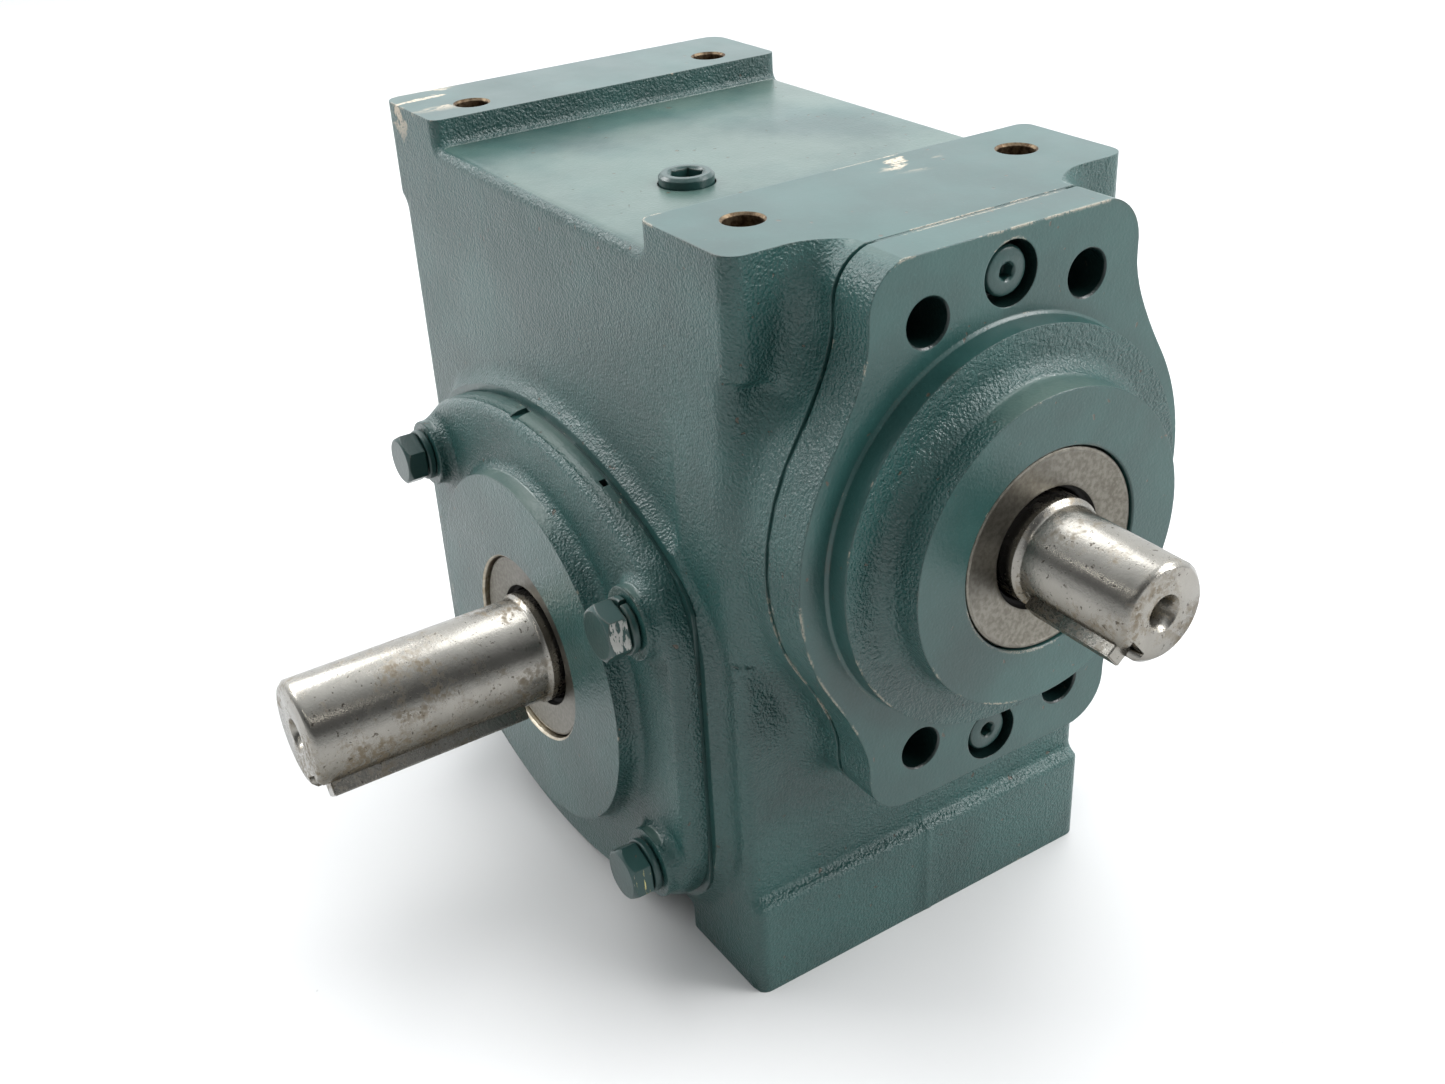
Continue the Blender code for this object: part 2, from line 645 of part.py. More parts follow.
def make_seals():
    worm_line = Vector((0, 0, WORM_Z))
    make_seal("input_seal", X_AXIS, worm_line, SEAL_POCKET_X + GAP, BOSS_FACE_X - 0.0005, INPUT_SEAL_R,
              WORM_JOURNAL_R)
    axis, middle = side_of(-1)
    make_seal("output_seal", axis, middle, SEAL_POCKET_Y + GAP, OUTPUT_BOSS_Y - 0.0015, OUTPUT_SEAL_R,
              OUTPUT_SEAL_SHAFT_R)


def make_bearing(names, axis, origin, start, bore, outer, width):
    """A tapered roller bearing: cup, cone, and a cage with its rollers as one piece.

    It opens towards +axis: the rollers' small ends are at start.
    """
    end = start + width
    lip = 0.0016
    section = outer - bore
    roller = section * 0.174
    track = roller + 0.0003

    def middle(along):
        """Radius of the rollers' centre line."""
        return bore + section * (0.40 + 0.16 * (along - start) / width)

    turned(names[0], [(start, outer), (end, outer), (end, middle(end) + track), (start, middle(start) + track)],
           axis, origin, steel(), closed=True, sides=24)
    shoulder = end - lip
    turned(names[1], [
        (start, bore + GAP), (start, middle(start) - track), (shoulder, middle(shoulder) - track),
        (shoulder, middle(end)), (end, middle(end)), (end, bore + GAP)], axis, origin, steel(), closed=True, sides=24)
    small, large = start + lip, shoulder - GAP
    make_roller_set(names[2], axis, origin, (small, middle(small)), (large, middle(large)), roller)


def make_roller_set(name, axis, origin, small, large, roller):
    """A tapered cage ring that swells round each roller."""
    turns = [radians(t) for t in (-65, -22, 22, 65)]
    data = bmesh.new()
    place = frame_along(axis, origin)

    def contour(station, sign):
        along, middle = station
        ring = []
        for i in range(ROLLERS):
            for turn in turns:
                across = roller * sin(turn)
                reach = middle + sign * roller * cos(turn)
                angle = 2 * pi * i / ROLLERS + atan2(across, reach)
                distance = hypot(across, reach)
                ring.append(data.verts.new(place @ Vector((distance * cos(angle), distance * sin(angle), along))))
        return ring

    ring_faces(data, [contour(small, 1), contour(large, 1), contour(large, -1), contour(small, -1)], True)
    piece = add_object(name, data, steel())
    put_origin(piece, origin)


def make_bearings():
    worm_line = Vector((0, 0, WORM_Z))
    names = ("cup", "cone", "rollers")
    worm_size = (WORM_JOURNAL_R, WORM_CUP_R, WORM_BEARING_WIDTH)
    make_bearing([f"worm_front_{n}" for n in names], -X_AXIS, worm_line, -FRONT_BEARING_X, *worm_size)
    make_bearing([f"worm_rear_{n}" for n in names], X_AXIS, worm_line, REAR_BEARING_X, *worm_size)
    output_size = (OUTPUT_JOURNAL_R, OUTPUT_CUP_R, OUTPUT_BEARING_WIDTH)
    for word, sign in (("output_side", -1), ("blind_side", 1)):
        axis, middle = side_of(sign)
        make_bearing([f"{word}_{n}" for n in names], -axis, middle, -OUTPUT_BEARING_Y, *output_size)


def worm_profile_points():
    """Thread section from its root edge over the crest: (offset along X, radius)."""
    crest = PITCH / 4 - FLANK_RELIEF - MODULE * tan(PRESSURE_ANGLE)
    root = PITCH / 4 - FLANK_RELIEF + 1.2 * MODULE * tan(PRESSURE_ANGLE)
    return [(-root, WORM_ROOT_R), (-crest, WORM_TIP_R), (crest, WORM_TIP_R), (root, WORM_ROOT_R)]


def make_worm_shaft():
    """The input shaft and its integral right-handed worm, as one skin wound along the thread."""
    data = bmesh.new()
    sides = 24
    turns = int(2 * WORM_HALF_LENGTH / PITCH)
    stations = sides * turns + 1
    start_x = WHEEL_X - PITCH * turns / 2
    end_x = start_x + PITCH * turns
    run_out, taper = 0.0065, 0.0045
    section = worm_profile_points()
    phase = -pi / 2 - pi * turns

    def point(x, radius, angle):
        return data.verts.new((x, radius * cos(angle), WORM_Z + radius * sin(angle)))

    wound = []
    for s in range(stations):
        angle = phase + 2 * pi * s / sides
        x = start_x + PITCH * s / sides
        wound.append([point(x + dx, r, angle) for dx, r in section])

    def ring(x, radius):
        return [point(x, radius, phase + 2 * pi * i / sides) for i in range(sides)]

    for s in range(stations - 1):
        for a, b in zip(range(3), range(1, 4)):
            data.faces.new((wound[s][a], wound[s + 1][a], wound[s + 1][b], wound[s][b]))
    for s in range(stations - 1 - sides):
        data.faces.new((wound[s][3], wound[s + 1][3], wound[s + 1 + sides][0], wound[s + sides][0]))
    data.faces.new(wound[0])
    data.faces.new(wound[-1])

    rear_edge = ring(start_x - run_out, WORM_ROOT_R)
    for s in range(sides - 1):
        data.faces.new((rear_edge[s], rear_edge[s + 1], wound[s + 1][0], wound[s][0]))
    data.faces.new((rear_edge[-1], rear_edge[0], wound[0][0], wound[0][3], wound[sides][0], wound[sides - 1][0]))

    last = stations - 1
    front_edge = ring(end_x + run_out, WORM_ROOT_R)
    base = last - sides
    for s in range(1, sides):
        data.faces.new((wound[base + s][3], wound[base + s + 1][3], front_edge[(s + 1) % sides], front_edge[s]))
    data.faces.new((wound[base][3], wound[base + 1][3], front_edge[1], front_edge[0], wound[last][3], wound[last][0]))

    inner_rear = REAR_BEARING_X + WORM_BEARING_WIDTH + SEAM
    inner_front = FRONT_BEARING_X - WORM_BEARING_WIDTH - SEAM
    collar, chamfer = 0.006, 0.001
    rear_rings = [ring(x, r) for x, r in (
        (start_x - run_out - taper, WORM_STEM_R), (inner_rear + collar, WORM_STEM_R),
        (inner_rear + collar, SHOULDER_R), (inner_rear, SHOULDER_R), (inner_rear, WORM_JOURNAL_R),
        (REAR_BEARING_X - GAP, WORM_JOURNAL_R), (REAR_BEARING_X - GAP - chamfer, WORM_JOURNAL_R - chamfer))]
    front_rings = [ring(x, r) for x, r in (
        (end_x + run_out + taper, WORM_STEM_R), (inner_front - collar, WORM_STEM_R),
        (inner_front - collar, SHOULDER_R), (inner_front, SHOULDER_R), (inner_front, WORM_JOURNAL_R),
        (BOSS_FACE_X + 1.5 * chamfer, WORM_JOURNAL_R), (BOSS_FACE_X + 1.9 * chamfer, INPUT_R),
        (INPUT_TIP_X - chamfer, INPUT_R), (INPUT_TIP_X, INPUT_R - chamfer))]
    ring_faces(data, [rear_edge] + rear_rings, False)
    ring_faces(data, [front_edge] + front_rings, False)
    remove_inner_caps(data, (rear_edge, front_edge))
    shaft = add_object("worm_shaft", data, steel())
    put_origin(shaft, Vector((0, 0, WORM_Z)))
    tip = Vector((INPUT_TIP_X, 0, WORM_Z))
    cut_shaft_end(shaft, X_AXIS, tip, 0.0042, 0.003)
    cut_keyway(shaft, X_AXIS, tip, INPUT_R, INPUT_KEY, INPUT_KEY_ANGLE, 0.0272)
    make_key("input_key", X_AXIS, tip, INPUT_R, INPUT_KEY, INPUT_KEY_ANGLE, 0.0028, 0.0268)


def remove_inner_caps(data, rings):
    """Drops the cap that ring_faces put across each of these rings, where two runs of rings meet."""
    caps = [face for face in data.faces if any(set(face.verts) == set(ring) for ring in rings)]
    bmesh.ops.delete(data, geom=caps, context="FACES_ONLY")


def cut_shaft_end(shaft, axis, tip, mouth, hole):
    """A centre drilling in a shaft's end: a pointed hole with a flared mouth."""
    depth, flare = 0.008, mouth - hole
    drilling = turned(f"{shaft.name}_centre", [
        (-depth - hole / 2, 0.0004), (-depth, hole), (-flare, hole), (0, mouth), (flare, mouth + flare)], axis, tip,
        sides=16, cutter=True)
    combine(shaft, drilling)


def key_frame(axis, tip, angle):
    """Z runs along the shaft out of its end, and X points from the shaft's centre through the key."""
    base = frame_along(axis, tip)
    outward = key_direction(axis, angle)
    turn = Matrix((outward, axis.cross(outward), axis)).transposed().to_4x4()
    turn.translation = base.translation
    return turn


def key_direction(axis, angle):
    """For a shaft along X the angle runs from +Y to +Z, and for one along Y from +X to +Z."""
    side = Y_AXIS if abs(axis.x) > 0.5 else X_AXIS
    return side * cos(angle) + Z_AXIS * sin(angle)


def cut_keyway(shaft, axis, tip, radius, key, angle, length):
    """A keyway that runs out through the shaft's tip."""
    half = key / 2 + GAP
    floor = radius - key / 2 - GAP
    data = bmesh.new()
    place = key_frame(axis, tip, angle)
    corners = [(floor, -half), (radius + CLEAR, -half), (radius + CLEAR, half), (floor, half)]
    rings = [[data.verts.new(place @ Vector((u, v, z))) for u, v in corners] for z in (-length, CLEAR)]
    ring_faces(data, rings, False)
    combine(shaft, add_object(f"{shaft.name}_keyway", data, cutter=True))


def make_key(name, axis, tip, radius, key, angle, low, high):
    """A square key half sunk in its shaft, between low and high behind the shaft's tip."""
    bottom = radius - key / 2
    data = bmesh.new()
    place = key_frame(axis, tip, angle)
    half = key / 2
    corners = [(bottom, -half), (bottom + key, -half), (bottom + key, half), (bottom, half)]
    rings = [[data.verts.new(place @ Vector((u, v, -z))) for u, v in corners] for z in (high, low)]
    ring_faces(data, rings, False)
    obj = add_object(name, data, steel())
    put_origin(obj, tip)


def make_output_shaft():
    axis, middle = side_of(-1)
    tip = -OUTPUT_TIP_Y
    chamfer = 0.0012
    bearing_inner = OUTPUT_BEARING_Y - OUTPUT_BEARING_WIDTH - GAP
    shaft = turned("output_shaft", [
        (GAP + SEAM - OUTPUT_BEARING_Y, OUTPUT_JOURNAL_R - 0.001), (0.0015 - OUTPUT_BEARING_Y, OUTPUT_JOURNAL_R),
        (-HUB_END_Y - 2 * GAP, OUTPUT_JOURNAL_R), (-HUB_END_Y - 2 * GAP, HUB_SEAT_R), (HUB_END_Y + GAP, HUB_SEAT_R),
        (HUB_END_Y + GAP, COLLAR_R), (bearing_inner, COLLAR_R), (bearing_inner, OUTPUT_JOURNAL_R),
        (0.0605, OUTPUT_JOURNAL_R), (0.0605, OUTPUT_SEAL_SHAFT_R), (0.0725, OUTPUT_SEAL_SHAFT_R),
        (0.0732, OUTPUT_R), (tip - chamfer, OUTPUT_R), (tip, OUTPUT_R - chamfer)],
        axis, middle, steel(), sides=24)
    put_origin(shaft, middle)
    end = middle + axis * tip
    cut_shaft_end(shaft, axis, end, 0.0046, 0.0034)
    cut_keyway(shaft, axis, end, OUTPUT_R, OUTPUT_KEY, OUTPUT_KEY_ANGLE, 0.0573)
    make_key("output_key", axis, end, OUTPUT_R, OUTPUT_KEY, OUTPUT_KEY_ANGLE, 0.0032, 0.057)
    hub_end = middle + axis * HUB_END_Y
    cut_hub_keyway(shaft, hub_end)
    make_key("wheel_key", axis, hub_end, HUB_SEAT_R, WHEEL_KEY, pi / 2, 0.0005, 2 * HUB_END_Y - 0.0005)


def cut_hub_keyway(shaft, hub_end):
    floor = HUB_SEAT_R - WHEEL_KEY / 2 - GAP
    half = WHEEL_KEY / 2 + GAP
    slot = block("wheel_keyway", (hub_end.x - half, hub_end.y, WHEEL_Z + floor),
                 (hub_end.x + half, hub_end.y + 2 * HUB_END_Y, WHEEL_Z + HUB_SEAT_R + CLEAR), cutter=True)
    combine(shaft, slot)


def make_wheel_hub():
    """A cast hub with a raised rim seat for the bronze ring, and a keyway in its bore."""
    axis, middle = side_of(-1)
    bore, neck, seat = HUB_SEAT_R + GAP, 0.028, WHEEL_HALF_FACE - 0.0005
    hub = turned("wheel_hub", [
        (-HUB_END_Y, bore), (-HUB_END_Y, neck - 0.001), (-seat, neck), (-seat, HUB_RIM_R), (seat, HUB_RIM_R),
        (seat, neck), (HUB_END_Y, neck - 0.001), (HUB_END_Y, bore)], axis, middle, iron(), closed=True, sides=24)
    half = WHEEL_KEY / 2 + GAP
    slot = block("hub_keyway", (middle.x - half, -WIDTH / 2, middle.z), (middle.x + half, WIDTH / 2,
                 middle.z + HUB_SEAT_R + half), cutter=True)
    combine(hub, slot)
    put_origin(hub, middle)


def involute(angle):
    return tan(angle) - angle


def tooth_half_angle(radius):
    """Half the angle that a wheel tooth fills at this radius, with involute flanks."""
    base = WHEEL_PITCH_R * cos(PRESSURE_ANGLE)
    at_pitch = pi / (2 * WHEEL_TEETH) - FLANK_RELIEF / WHEEL_PITCH_R
    pressure = acos(min(1.0, base / radius))
    return at_pitch + involute(PRESSURE_ANGLE) - involute(pressure)


def make_worm_wheel():
    """A throated bronze rim, its teeth twisted to the worm's lead, with a gap facing the worm."""
    axis, middle = side_of(1)
    twist = PITCH / (2 * pi * WORM_PITCH_R) / WHEEL_PITCH_R
    core_r = WORM_ROOT_R - TIP_CLEARANCE
    clear_r = WORM_TIP_R + TIP_CLEARANCE
    data = bmesh.new()
    rings = []
    for part in (-1, -0.5, 0, 0.5, 1):
        y = part * WHEEL_HALF_FACE
        tip = min(CENTRE_DISTANCE - sqrt(max(core_r ** 2 - y ** 2, 0)) - 2 * TIP_CLEARANCE, WHEEL_TIP_LIMIT)
        root = CENTRE_DISTANCE - sqrt(clear_r ** 2 - y ** 2)
        ring = []
        for tooth in range(WHEEL_TEETH):
            centre = 2 * pi * (tooth + 0.5) / WHEEL_TEETH + twist * y
            for side, order in ((-1, (root, tip)), (1, (tip, root))):
                for radius in order:
                    angle = centre + side * tooth_half_angle(radius)
                    ring.append(data.verts.new((
                        middle.x + radius * sin(angle), y, middle.z + radius * cos(angle))))
        rings.append(ring)
    bore = HUB_RIM_R + GAP
    for y in (WHEEL_HALF_FACE, -WHEEL_HALF_FACE):
        ring = []
        for i in range(len(rings[0])):
            angle = 2 * pi * (i + 0.5) / len(rings[0])
            ring.append(data.verts.new((middle.x + bore * sin(angle), y, middle.z + bore * cos(angle))))
        rings.append(ring)
    ring_faces(data, rings, True)
    wheel = add_object("worm_wheel", data, bronze())
    put_origin(wheel, middle)


def make_spacer():
    """A sleeve between the wheel's hub and the blind-side bearing."""
    axis, middle = side_of(1)
    near = HUB_END_Y + 3 * GAP
    far = OUTPUT_BEARING_Y - OUTPUT_BEARING_WIDTH - GAP
    inner, outer = OUTPUT_JOURNAL_R + GAP, 0.020
    spacer = turned("wheel_spacer", [(near, inner), (far, inner), (far, outer), (near, outer)], axis, middle, steel(),
                    closed=True, sides=24)
    put_origin(spacer, middle)


def make_rear_end_plug():
    """A pressed steel cup that closes the rear bearing bore."""
    outer, thick, edge = WORM_CUP_R, 0.0015, 0.0006
    face = REAR_X + END_SETBACK + 0.0008
    inner_end = REAR_BEARING_X - GAP
    turned("rear_end_plug", [
        (face, outer - edge), (face + edge, outer), (inner_end, outer), (inner_end, outer - thick),
        (face + thick, outer - thick)], X_AXIS, Vector((0, 0, WORM_Z)), paint())


def main():
    clear_scene()
    make_housing()
    make_input_flange()
    make_flange_screws()
    make_covers()
    make_gaskets()
    make_cover_fasteners()
    make_bearings()
    make_worm_shaft()
    make_output_shaft()
    make_wheel_hub()
    make_worm_wheel()
    make_spacer()
    make_rear_end_plug()
    make_seals()
    for name, axis, place in plug_places():
        make_plug(name, axis, place)


main()
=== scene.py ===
from math import cos, pi, radians, sin

import bmesh
import bpy
import numpy as np
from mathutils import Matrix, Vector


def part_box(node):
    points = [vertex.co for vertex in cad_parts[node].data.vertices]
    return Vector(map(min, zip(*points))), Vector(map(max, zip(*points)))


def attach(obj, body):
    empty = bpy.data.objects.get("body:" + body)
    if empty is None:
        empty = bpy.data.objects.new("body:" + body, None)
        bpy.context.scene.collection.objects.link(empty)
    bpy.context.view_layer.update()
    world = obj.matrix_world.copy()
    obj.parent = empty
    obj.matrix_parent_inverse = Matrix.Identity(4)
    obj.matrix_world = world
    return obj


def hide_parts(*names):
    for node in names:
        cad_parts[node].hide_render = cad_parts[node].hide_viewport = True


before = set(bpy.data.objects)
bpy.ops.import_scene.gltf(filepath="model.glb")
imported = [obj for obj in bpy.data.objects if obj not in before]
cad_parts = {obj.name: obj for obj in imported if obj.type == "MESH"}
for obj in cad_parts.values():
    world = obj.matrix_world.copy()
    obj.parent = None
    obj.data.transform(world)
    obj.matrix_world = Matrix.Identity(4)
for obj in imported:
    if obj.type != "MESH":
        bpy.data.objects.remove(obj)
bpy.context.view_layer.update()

import openvdb
from mathutils import Matrix, Vector

# Places read from the parts in model.glb
HOUSING_LOW, HOUSING_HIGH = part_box("housing")
FLANGE_LOW, FLANGE_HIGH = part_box("input_flange")
COVER_LOW, COVER_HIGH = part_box("output_cover")
BLIND_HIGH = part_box("blind_cover")[1]
INPUT_SEAL_LOW, INPUT_SEAL_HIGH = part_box("input_seal")
OUTPUT_SEAL_LOW, OUTPUT_SEAL_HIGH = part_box("output_seal")
GASKET_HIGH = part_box("input_gasket")[1]
WORM_Z = (FLANGE_LOW.z + FLANGE_HIGH.z) / 2
WHEEL_X = (COVER_LOW.x + COVER_HIGH.x) / 2
WHEEL_Z = (COVER_LOW.z + COVER_HIGH.z) / 2
WORM_LINE = Vector((0, 0, WORM_Z))
WHEEL_CENTRE = Vector((WHEEL_X, 0, WHEEL_Z))
INPUT_TIP_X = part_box("worm_shaft")[1].x
OUTPUT_TIP_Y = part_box("output_shaft")[0].y

# Housing
REAR_X = HOUSING_LOW.x
FRONT_X = REAR_X + 0.169
HEIGHT = HOUSING_HIGH.z
SEAT_Y = HOUSING_HIGH.y
SIDE_Y = SEAT_Y - 0.003
FRONT_PAD = 0.0336
REAR_PAD = 0.0319
PAD_STEP = 0.007
END_PAD_HEIGHT = 0.028
END_SETBACK = 0.003
WALL = 0.009
BOSS_END_X = HOUSING_HIGH.x
MOUNT_HOLE_R = 0.0047625    # 3/8 in thread
MOUNT_HOLE_DEPTH = 0.022
THREAD_PITCH = 0.0015875
THREAD_DEPTH = 0.0008
MOUNT_HOLE_XS = (FRONT_X - 0.0185, FRONT_X - 0.1478)
MOUNT_HOLE_Y = 0.0375

# Input flange
FLANGE_BACK_X = GASKET_HIGH.x + 0.0002
FLANGE_FACE_X = FRONT_X + 0.0216
BOSS_FACE_X = FLANGE_HIGH.x
FLANGE_R = FLANGE_HIGH.y
LOBE_HALF = 0.036
LOBE_TOP = FLANGE_HIGH.z - WORM_Z
LOBE_CORNER = 0.011
PILOT_R = 0.0471
PILOT_END_X = FLANGE_FACE_X + 0.0059
NECK_R = 0.0363
SPIGOT_R = 0.0327
FLANGE_HOLE_Y = 0.0214
FLANGE_HOLE_Z = 0.0519
FLANGE_HOLE_R = 0.0052
SCREW_Z = 0.057
COUNTERBORE_R = 0.0071
COUNTERBORE_DEPTH = 0.0075

# Side covers, measured along Y from the mid-plane
COVER_BACK_Y = SEAT_Y + 0.001
COVER_RIM_Y = 0.0640
COVER_SEAT_Y = 0.0682
COVER_BOSS_R = 0.0483
COVER_BOLT_X = 0.056
COVER_BOLT_Z = 0.0357
COVER_CORNER_R = 0.0125
COVER_DRAFT = 0.0018
SIDE_BORE_R = 0.052
BOLT_HOLE_R = 0.0043
# Pry notches: place along the rim, half width, reach off the housing, depth, skin
COVER_NOTCHES = ((-0.006, 0.0016, 0.012, 0.0014, 1), (0.033, 0.0011, 0.0018, 0.009, 2))

# Shafts
INPUT_R = 0.0111125
INPUT_JOURNAL_R = 0.0125
INPUT_KEY = 0.0047625
INPUT_KEY_ANGLE = radians(220)
OUTPUT_R = 0.0142875
OUTPUT_JOURNAL_R = 0.0152
OUTPUT_KEY = 0.00635
OUTPUT_KEY_ANGLE = radians(-55)

GAP = 0.0003
VOXEL = 0.001
FINE_VOXEL = 0.0007
THRIFT = 0.01    # how far the castings' flat areas are simplified
X_AXIS, Y_AXIS, Z_AXIS = Vector((1, 0, 0)), Vector((0, 1, 0)), Vector((0, 0, 1))


# ---------------------------------------------------------------- materials

class Nodes:
    """Adds nodes to one material and links them. A number, tuple or socket may be given to any input."""

    def __init__(self, name):
        self.material = bpy.data.materials.new(name)
        self.material.use_nodes = True
        self.tree = self.material.node_tree
        self.shader = self.tree.nodes["Principled BSDF"]
        self.place = self.add("TexCoord").outputs["Object"]

    def add(self, kind, settings=None, **inputs):
        node = self.tree.nodes.new(f"ShaderNode{kind}")
        for key, value in (settings or {}).items():
            setattr(node, key, value)
        for key, value in inputs.items():
            self.put(node.inputs[key.replace("_", " ")], value)
        return node

    def put(self, socket, value):
        if isinstance(value, bpy.types.NodeSocket):
            self.tree.links.new(value, socket)
        else:
            socket.default_value = value

    def math(self, operation, *values, clamp=False):
        node = self.add("Math", {"operation": operation, "use_clamp": clamp})
        for socket, value in zip(node.inputs, values):
            self.put(socket, value)
        return node.outputs[0]

    def noise(self, scale, detail=3.0, roughness=0.55, stretch=None, distortion=0.0):
        place = self.place
        if stretch:
            place = self.add("Mapping", Vector=place, Scale=stretch).outputs[0]
        return self.add("TexNoise", Vector=place, Scale=scale, Detail=detail, Roughness=roughness,
                        Distortion=distortion).outputs["Fac"]

    def band(self, value, low, high):
        """0 below low, 1 above high, smooth between."""
        node = self.add("MapRange", {"interpolation_type": "SMOOTHSTEP"}, Value=value)
        self.put(node.inputs["From Min"], low)
        self.put(node.inputs["From Max"], high)
        return node.outputs[0]

    def mix(self, share, first, second):
        node = self.add("Mix", {"data_type": "RGBA"})
        for index, value in ((0, share), (6, first), (7, second)):
            if isinstance(value, tuple):
                value = (*value, 1)
            self.put(node.inputs[index], value)
        return node.outputs[2]

    def edges(self, radius):
        """Near 0 on flat faces, rising towards sharp edges."""
        bevel = self.add("Bevel", {"samples": 4}, Radius=radius).outputs[0]
        normal = self.add("NewGeometry").outputs["Normal"]
        dot = self.add("VectorMath", {"operation": "DOT_PRODUCT"})
        self.put(dot.inputs[0], bevel)
        self.put(dot.inputs[1], normal)
        return self.math("SUBTRACT", 1.0, dot.outputs["Value"])

    def finish(self, colour, roughness, height=None, distance=0.0, softness=0.0004, metallic=0.0):
        self.put(self.shader.inputs["Base Color"], colour)
        self.put(self.shader.inputs["Roughness"], roughness)
        self.put(self.shader.inputs["Metallic"], metallic)
        normal = self.add("Bevel", {"samples": 4}, Radius=softness).outputs[0] if softness else None
        if height is not None:
            bump = self.add("Bump", Distance=distance, Height=height)
            if normal:
                self.put(bump.inputs["Normal"], normal)
            normal = bump.outputs[0]
        if normal:
            self.put(self.shader.inputs["Normal"], normal)
        return self.material


PAINT_DARK = (0.014, 0.050, 0.046)
PAINT = (0.020, 0.072, 0.066)
PAINT_LIGHT = (0.034, 0.094, 0.090)
PRIMER = (0.50, 0.43, 0.34)
RUST = (0.085, 0.045, 0.026)
DUST = (0.105, 0.150, 0.128)


def shade(colour, share):
    return tuple(c * share for c in colour)


def scuffs():
    """Where handling has worn the paint off the edges, each a place and a reach."""
    return (
        ((REAR_X + 0.006, -SIDE_Y, HEIGHT), 0.024),
        ((FRONT_X - FRONT_PAD, 0.008, HEIGHT), 0.015),
        ((FRONT_X - FRONT_PAD, -SIDE_Y, HEIGHT), 0.012),
        ((FLANGE_FACE_X, -0.058, WORM_Z - 0.029), 0.034),
        ((FLANGE_FACE_X, 0.010, HEIGHT + 0.011), 0.026),
        ((BOSS_END_X, -0.005, HEIGHT), 0.014),
        ((BOSS_FACE_X, -0.014, WORM_Z - 0.020), 0.020),
        ((WHEEL_X + 0.022, COVER_LOW.y, WHEEL_Z - 0.006), 0.024),
    )


def scrapes():
    """Where the paint is scraped off a flat face, each a place and a reach."""
    return (
        ((REAR_X + 0.009, -SIDE_Y + 0.009, HEIGHT), 0.017),
        ((FRONT_X - FRONT_PAD + 0.003, 0.012, HEIGHT), 0.012),
    )


def nearness(n, places):
    """1 near any of the places, 0 beyond their reach."""
    nearest = None
    for place, reach in places:
        away = n.add("VectorMath", {"operation": "DISTANCE"})
        n.put(away.inputs[0], n.place)
        n.put(away.inputs[1], place)
        near = n.band(away.outputs["Value"], reach, reach * 0.4)
        nearest = near if nearest is None else n.math("MAXIMUM", nearest, near)
    return nearest


def paint(name, grain, chips, spread=0.0012, dark=1.0, dust=0.0):
    """Green machine paint over cast iron.

    Grain is the height of the casting's skin and spread the reach of wear from an edge, in metres. Chips is how
    readily the paint is lost at edges, dark scales its colour, and dust is what lies on level faces.
    """
    n = Nodes(name)
    broad = n.noise(28, 4.0, 0.6)
    fine = n.noise(1300, 3.0, 0.6)
    colour = n.mix(n.band(broad, 0.35, 0.68), shade(PAINT_DARK, dark), shade(PAINT, dark))
    colour = n.mix(n.math("MULTIPLY", n.band(fine, 0.55, 0.75), 0.4), colour, shade(PAINT_LIGHT, dark))
    normal = n.add("TexCoord").outputs["Normal"]
    level = n.band(n.add("SeparateXYZ", Vector=normal).outputs["Z"], 0.85, 0.97)
    if dust:
        settled = n.math("MULTIPLY", n.band(n.noise(22, 5.0, 0.65), 0.30, 0.62), dust)
        colour = n.mix(n.math("MULTIPLY", settled, level), colour, DUST)
    near_edge = n.edges(spread)
    handled = nearness(n, scuffs())
    patch = n.math("ADD", n.noise(95, 5.0, 0.7), n.math("MULTIPLY", handled, 0.19))
    crumble = n.noise(1500, 3.0, 0.7)
    # Rust-brown patches near edges and in creases: grime, and in the creases painted shade.
    crease_shade_and_grime = n.math("MULTIPLY", n.band(n.noise(36, 5.0, 0.65, distortion=0.4), 0.54, 0.72), n.band(near_edge, 0.0, 0.1))
    colour = n.mix(n.math("MULTIPLY", crease_shade_and_grime, 0.5), colour, RUST)
    worn = n.math("MULTIPLY", n.band(patch, 0.66 - chips, 0.70 - chips), n.band(crumble, 0.40, 0.48))
    chipped = n.math("MULTIPLY", worn, n.band(near_edge, 0.08, 0.15))
    streaks = n.noise(130, 3.0, 0.6, stretch=(1, 0.3, 1))
    scraped = n.math("MULTIPLY", n.band(streaks, 0.53, 0.57), nearness(n, scrapes()))
    chipped = n.math("MAXIMUM", chipped, n.math("MULTIPLY", scraped, n.band(crumble, 0.38, 0.46)))
    specks = n.band(n.noise(380, 2.0, 0.5), 0.725, 0.75)
    colour = n.mix(n.math("MULTIPLY", specks, 0.6), colour, RUST)
    colour = n.mix(chipped, colour, PRIMER)
    rough = n.math("ADD", 0.23, n.math("MULTIPLY", n.noise(60, 4.0), 0.16))
    rough = n.math("ADD", rough, n.math("MULTIPLY", chipped, 0.35))
    skin = n.math("ADD", n.noise(1500, 2.0, 0.45), n.math("MULTIPLY", n.noise(560, 2.0), 0.6))
    skin = n.math("MULTIPLY", skin, n.math("SUBTRACT", 1.0, n.math("MULTIPLY", level, 0.88)))
    skin = n.math("SUBTRACT", skin, n.math("MULTIPLY", chipped, 0.25))
    skin = n.math("SUBTRACT", skin, n.math("MULTIPLY", specks, 0.5))
    return n.finish(colour, rough, skin, grain, 0.0005)


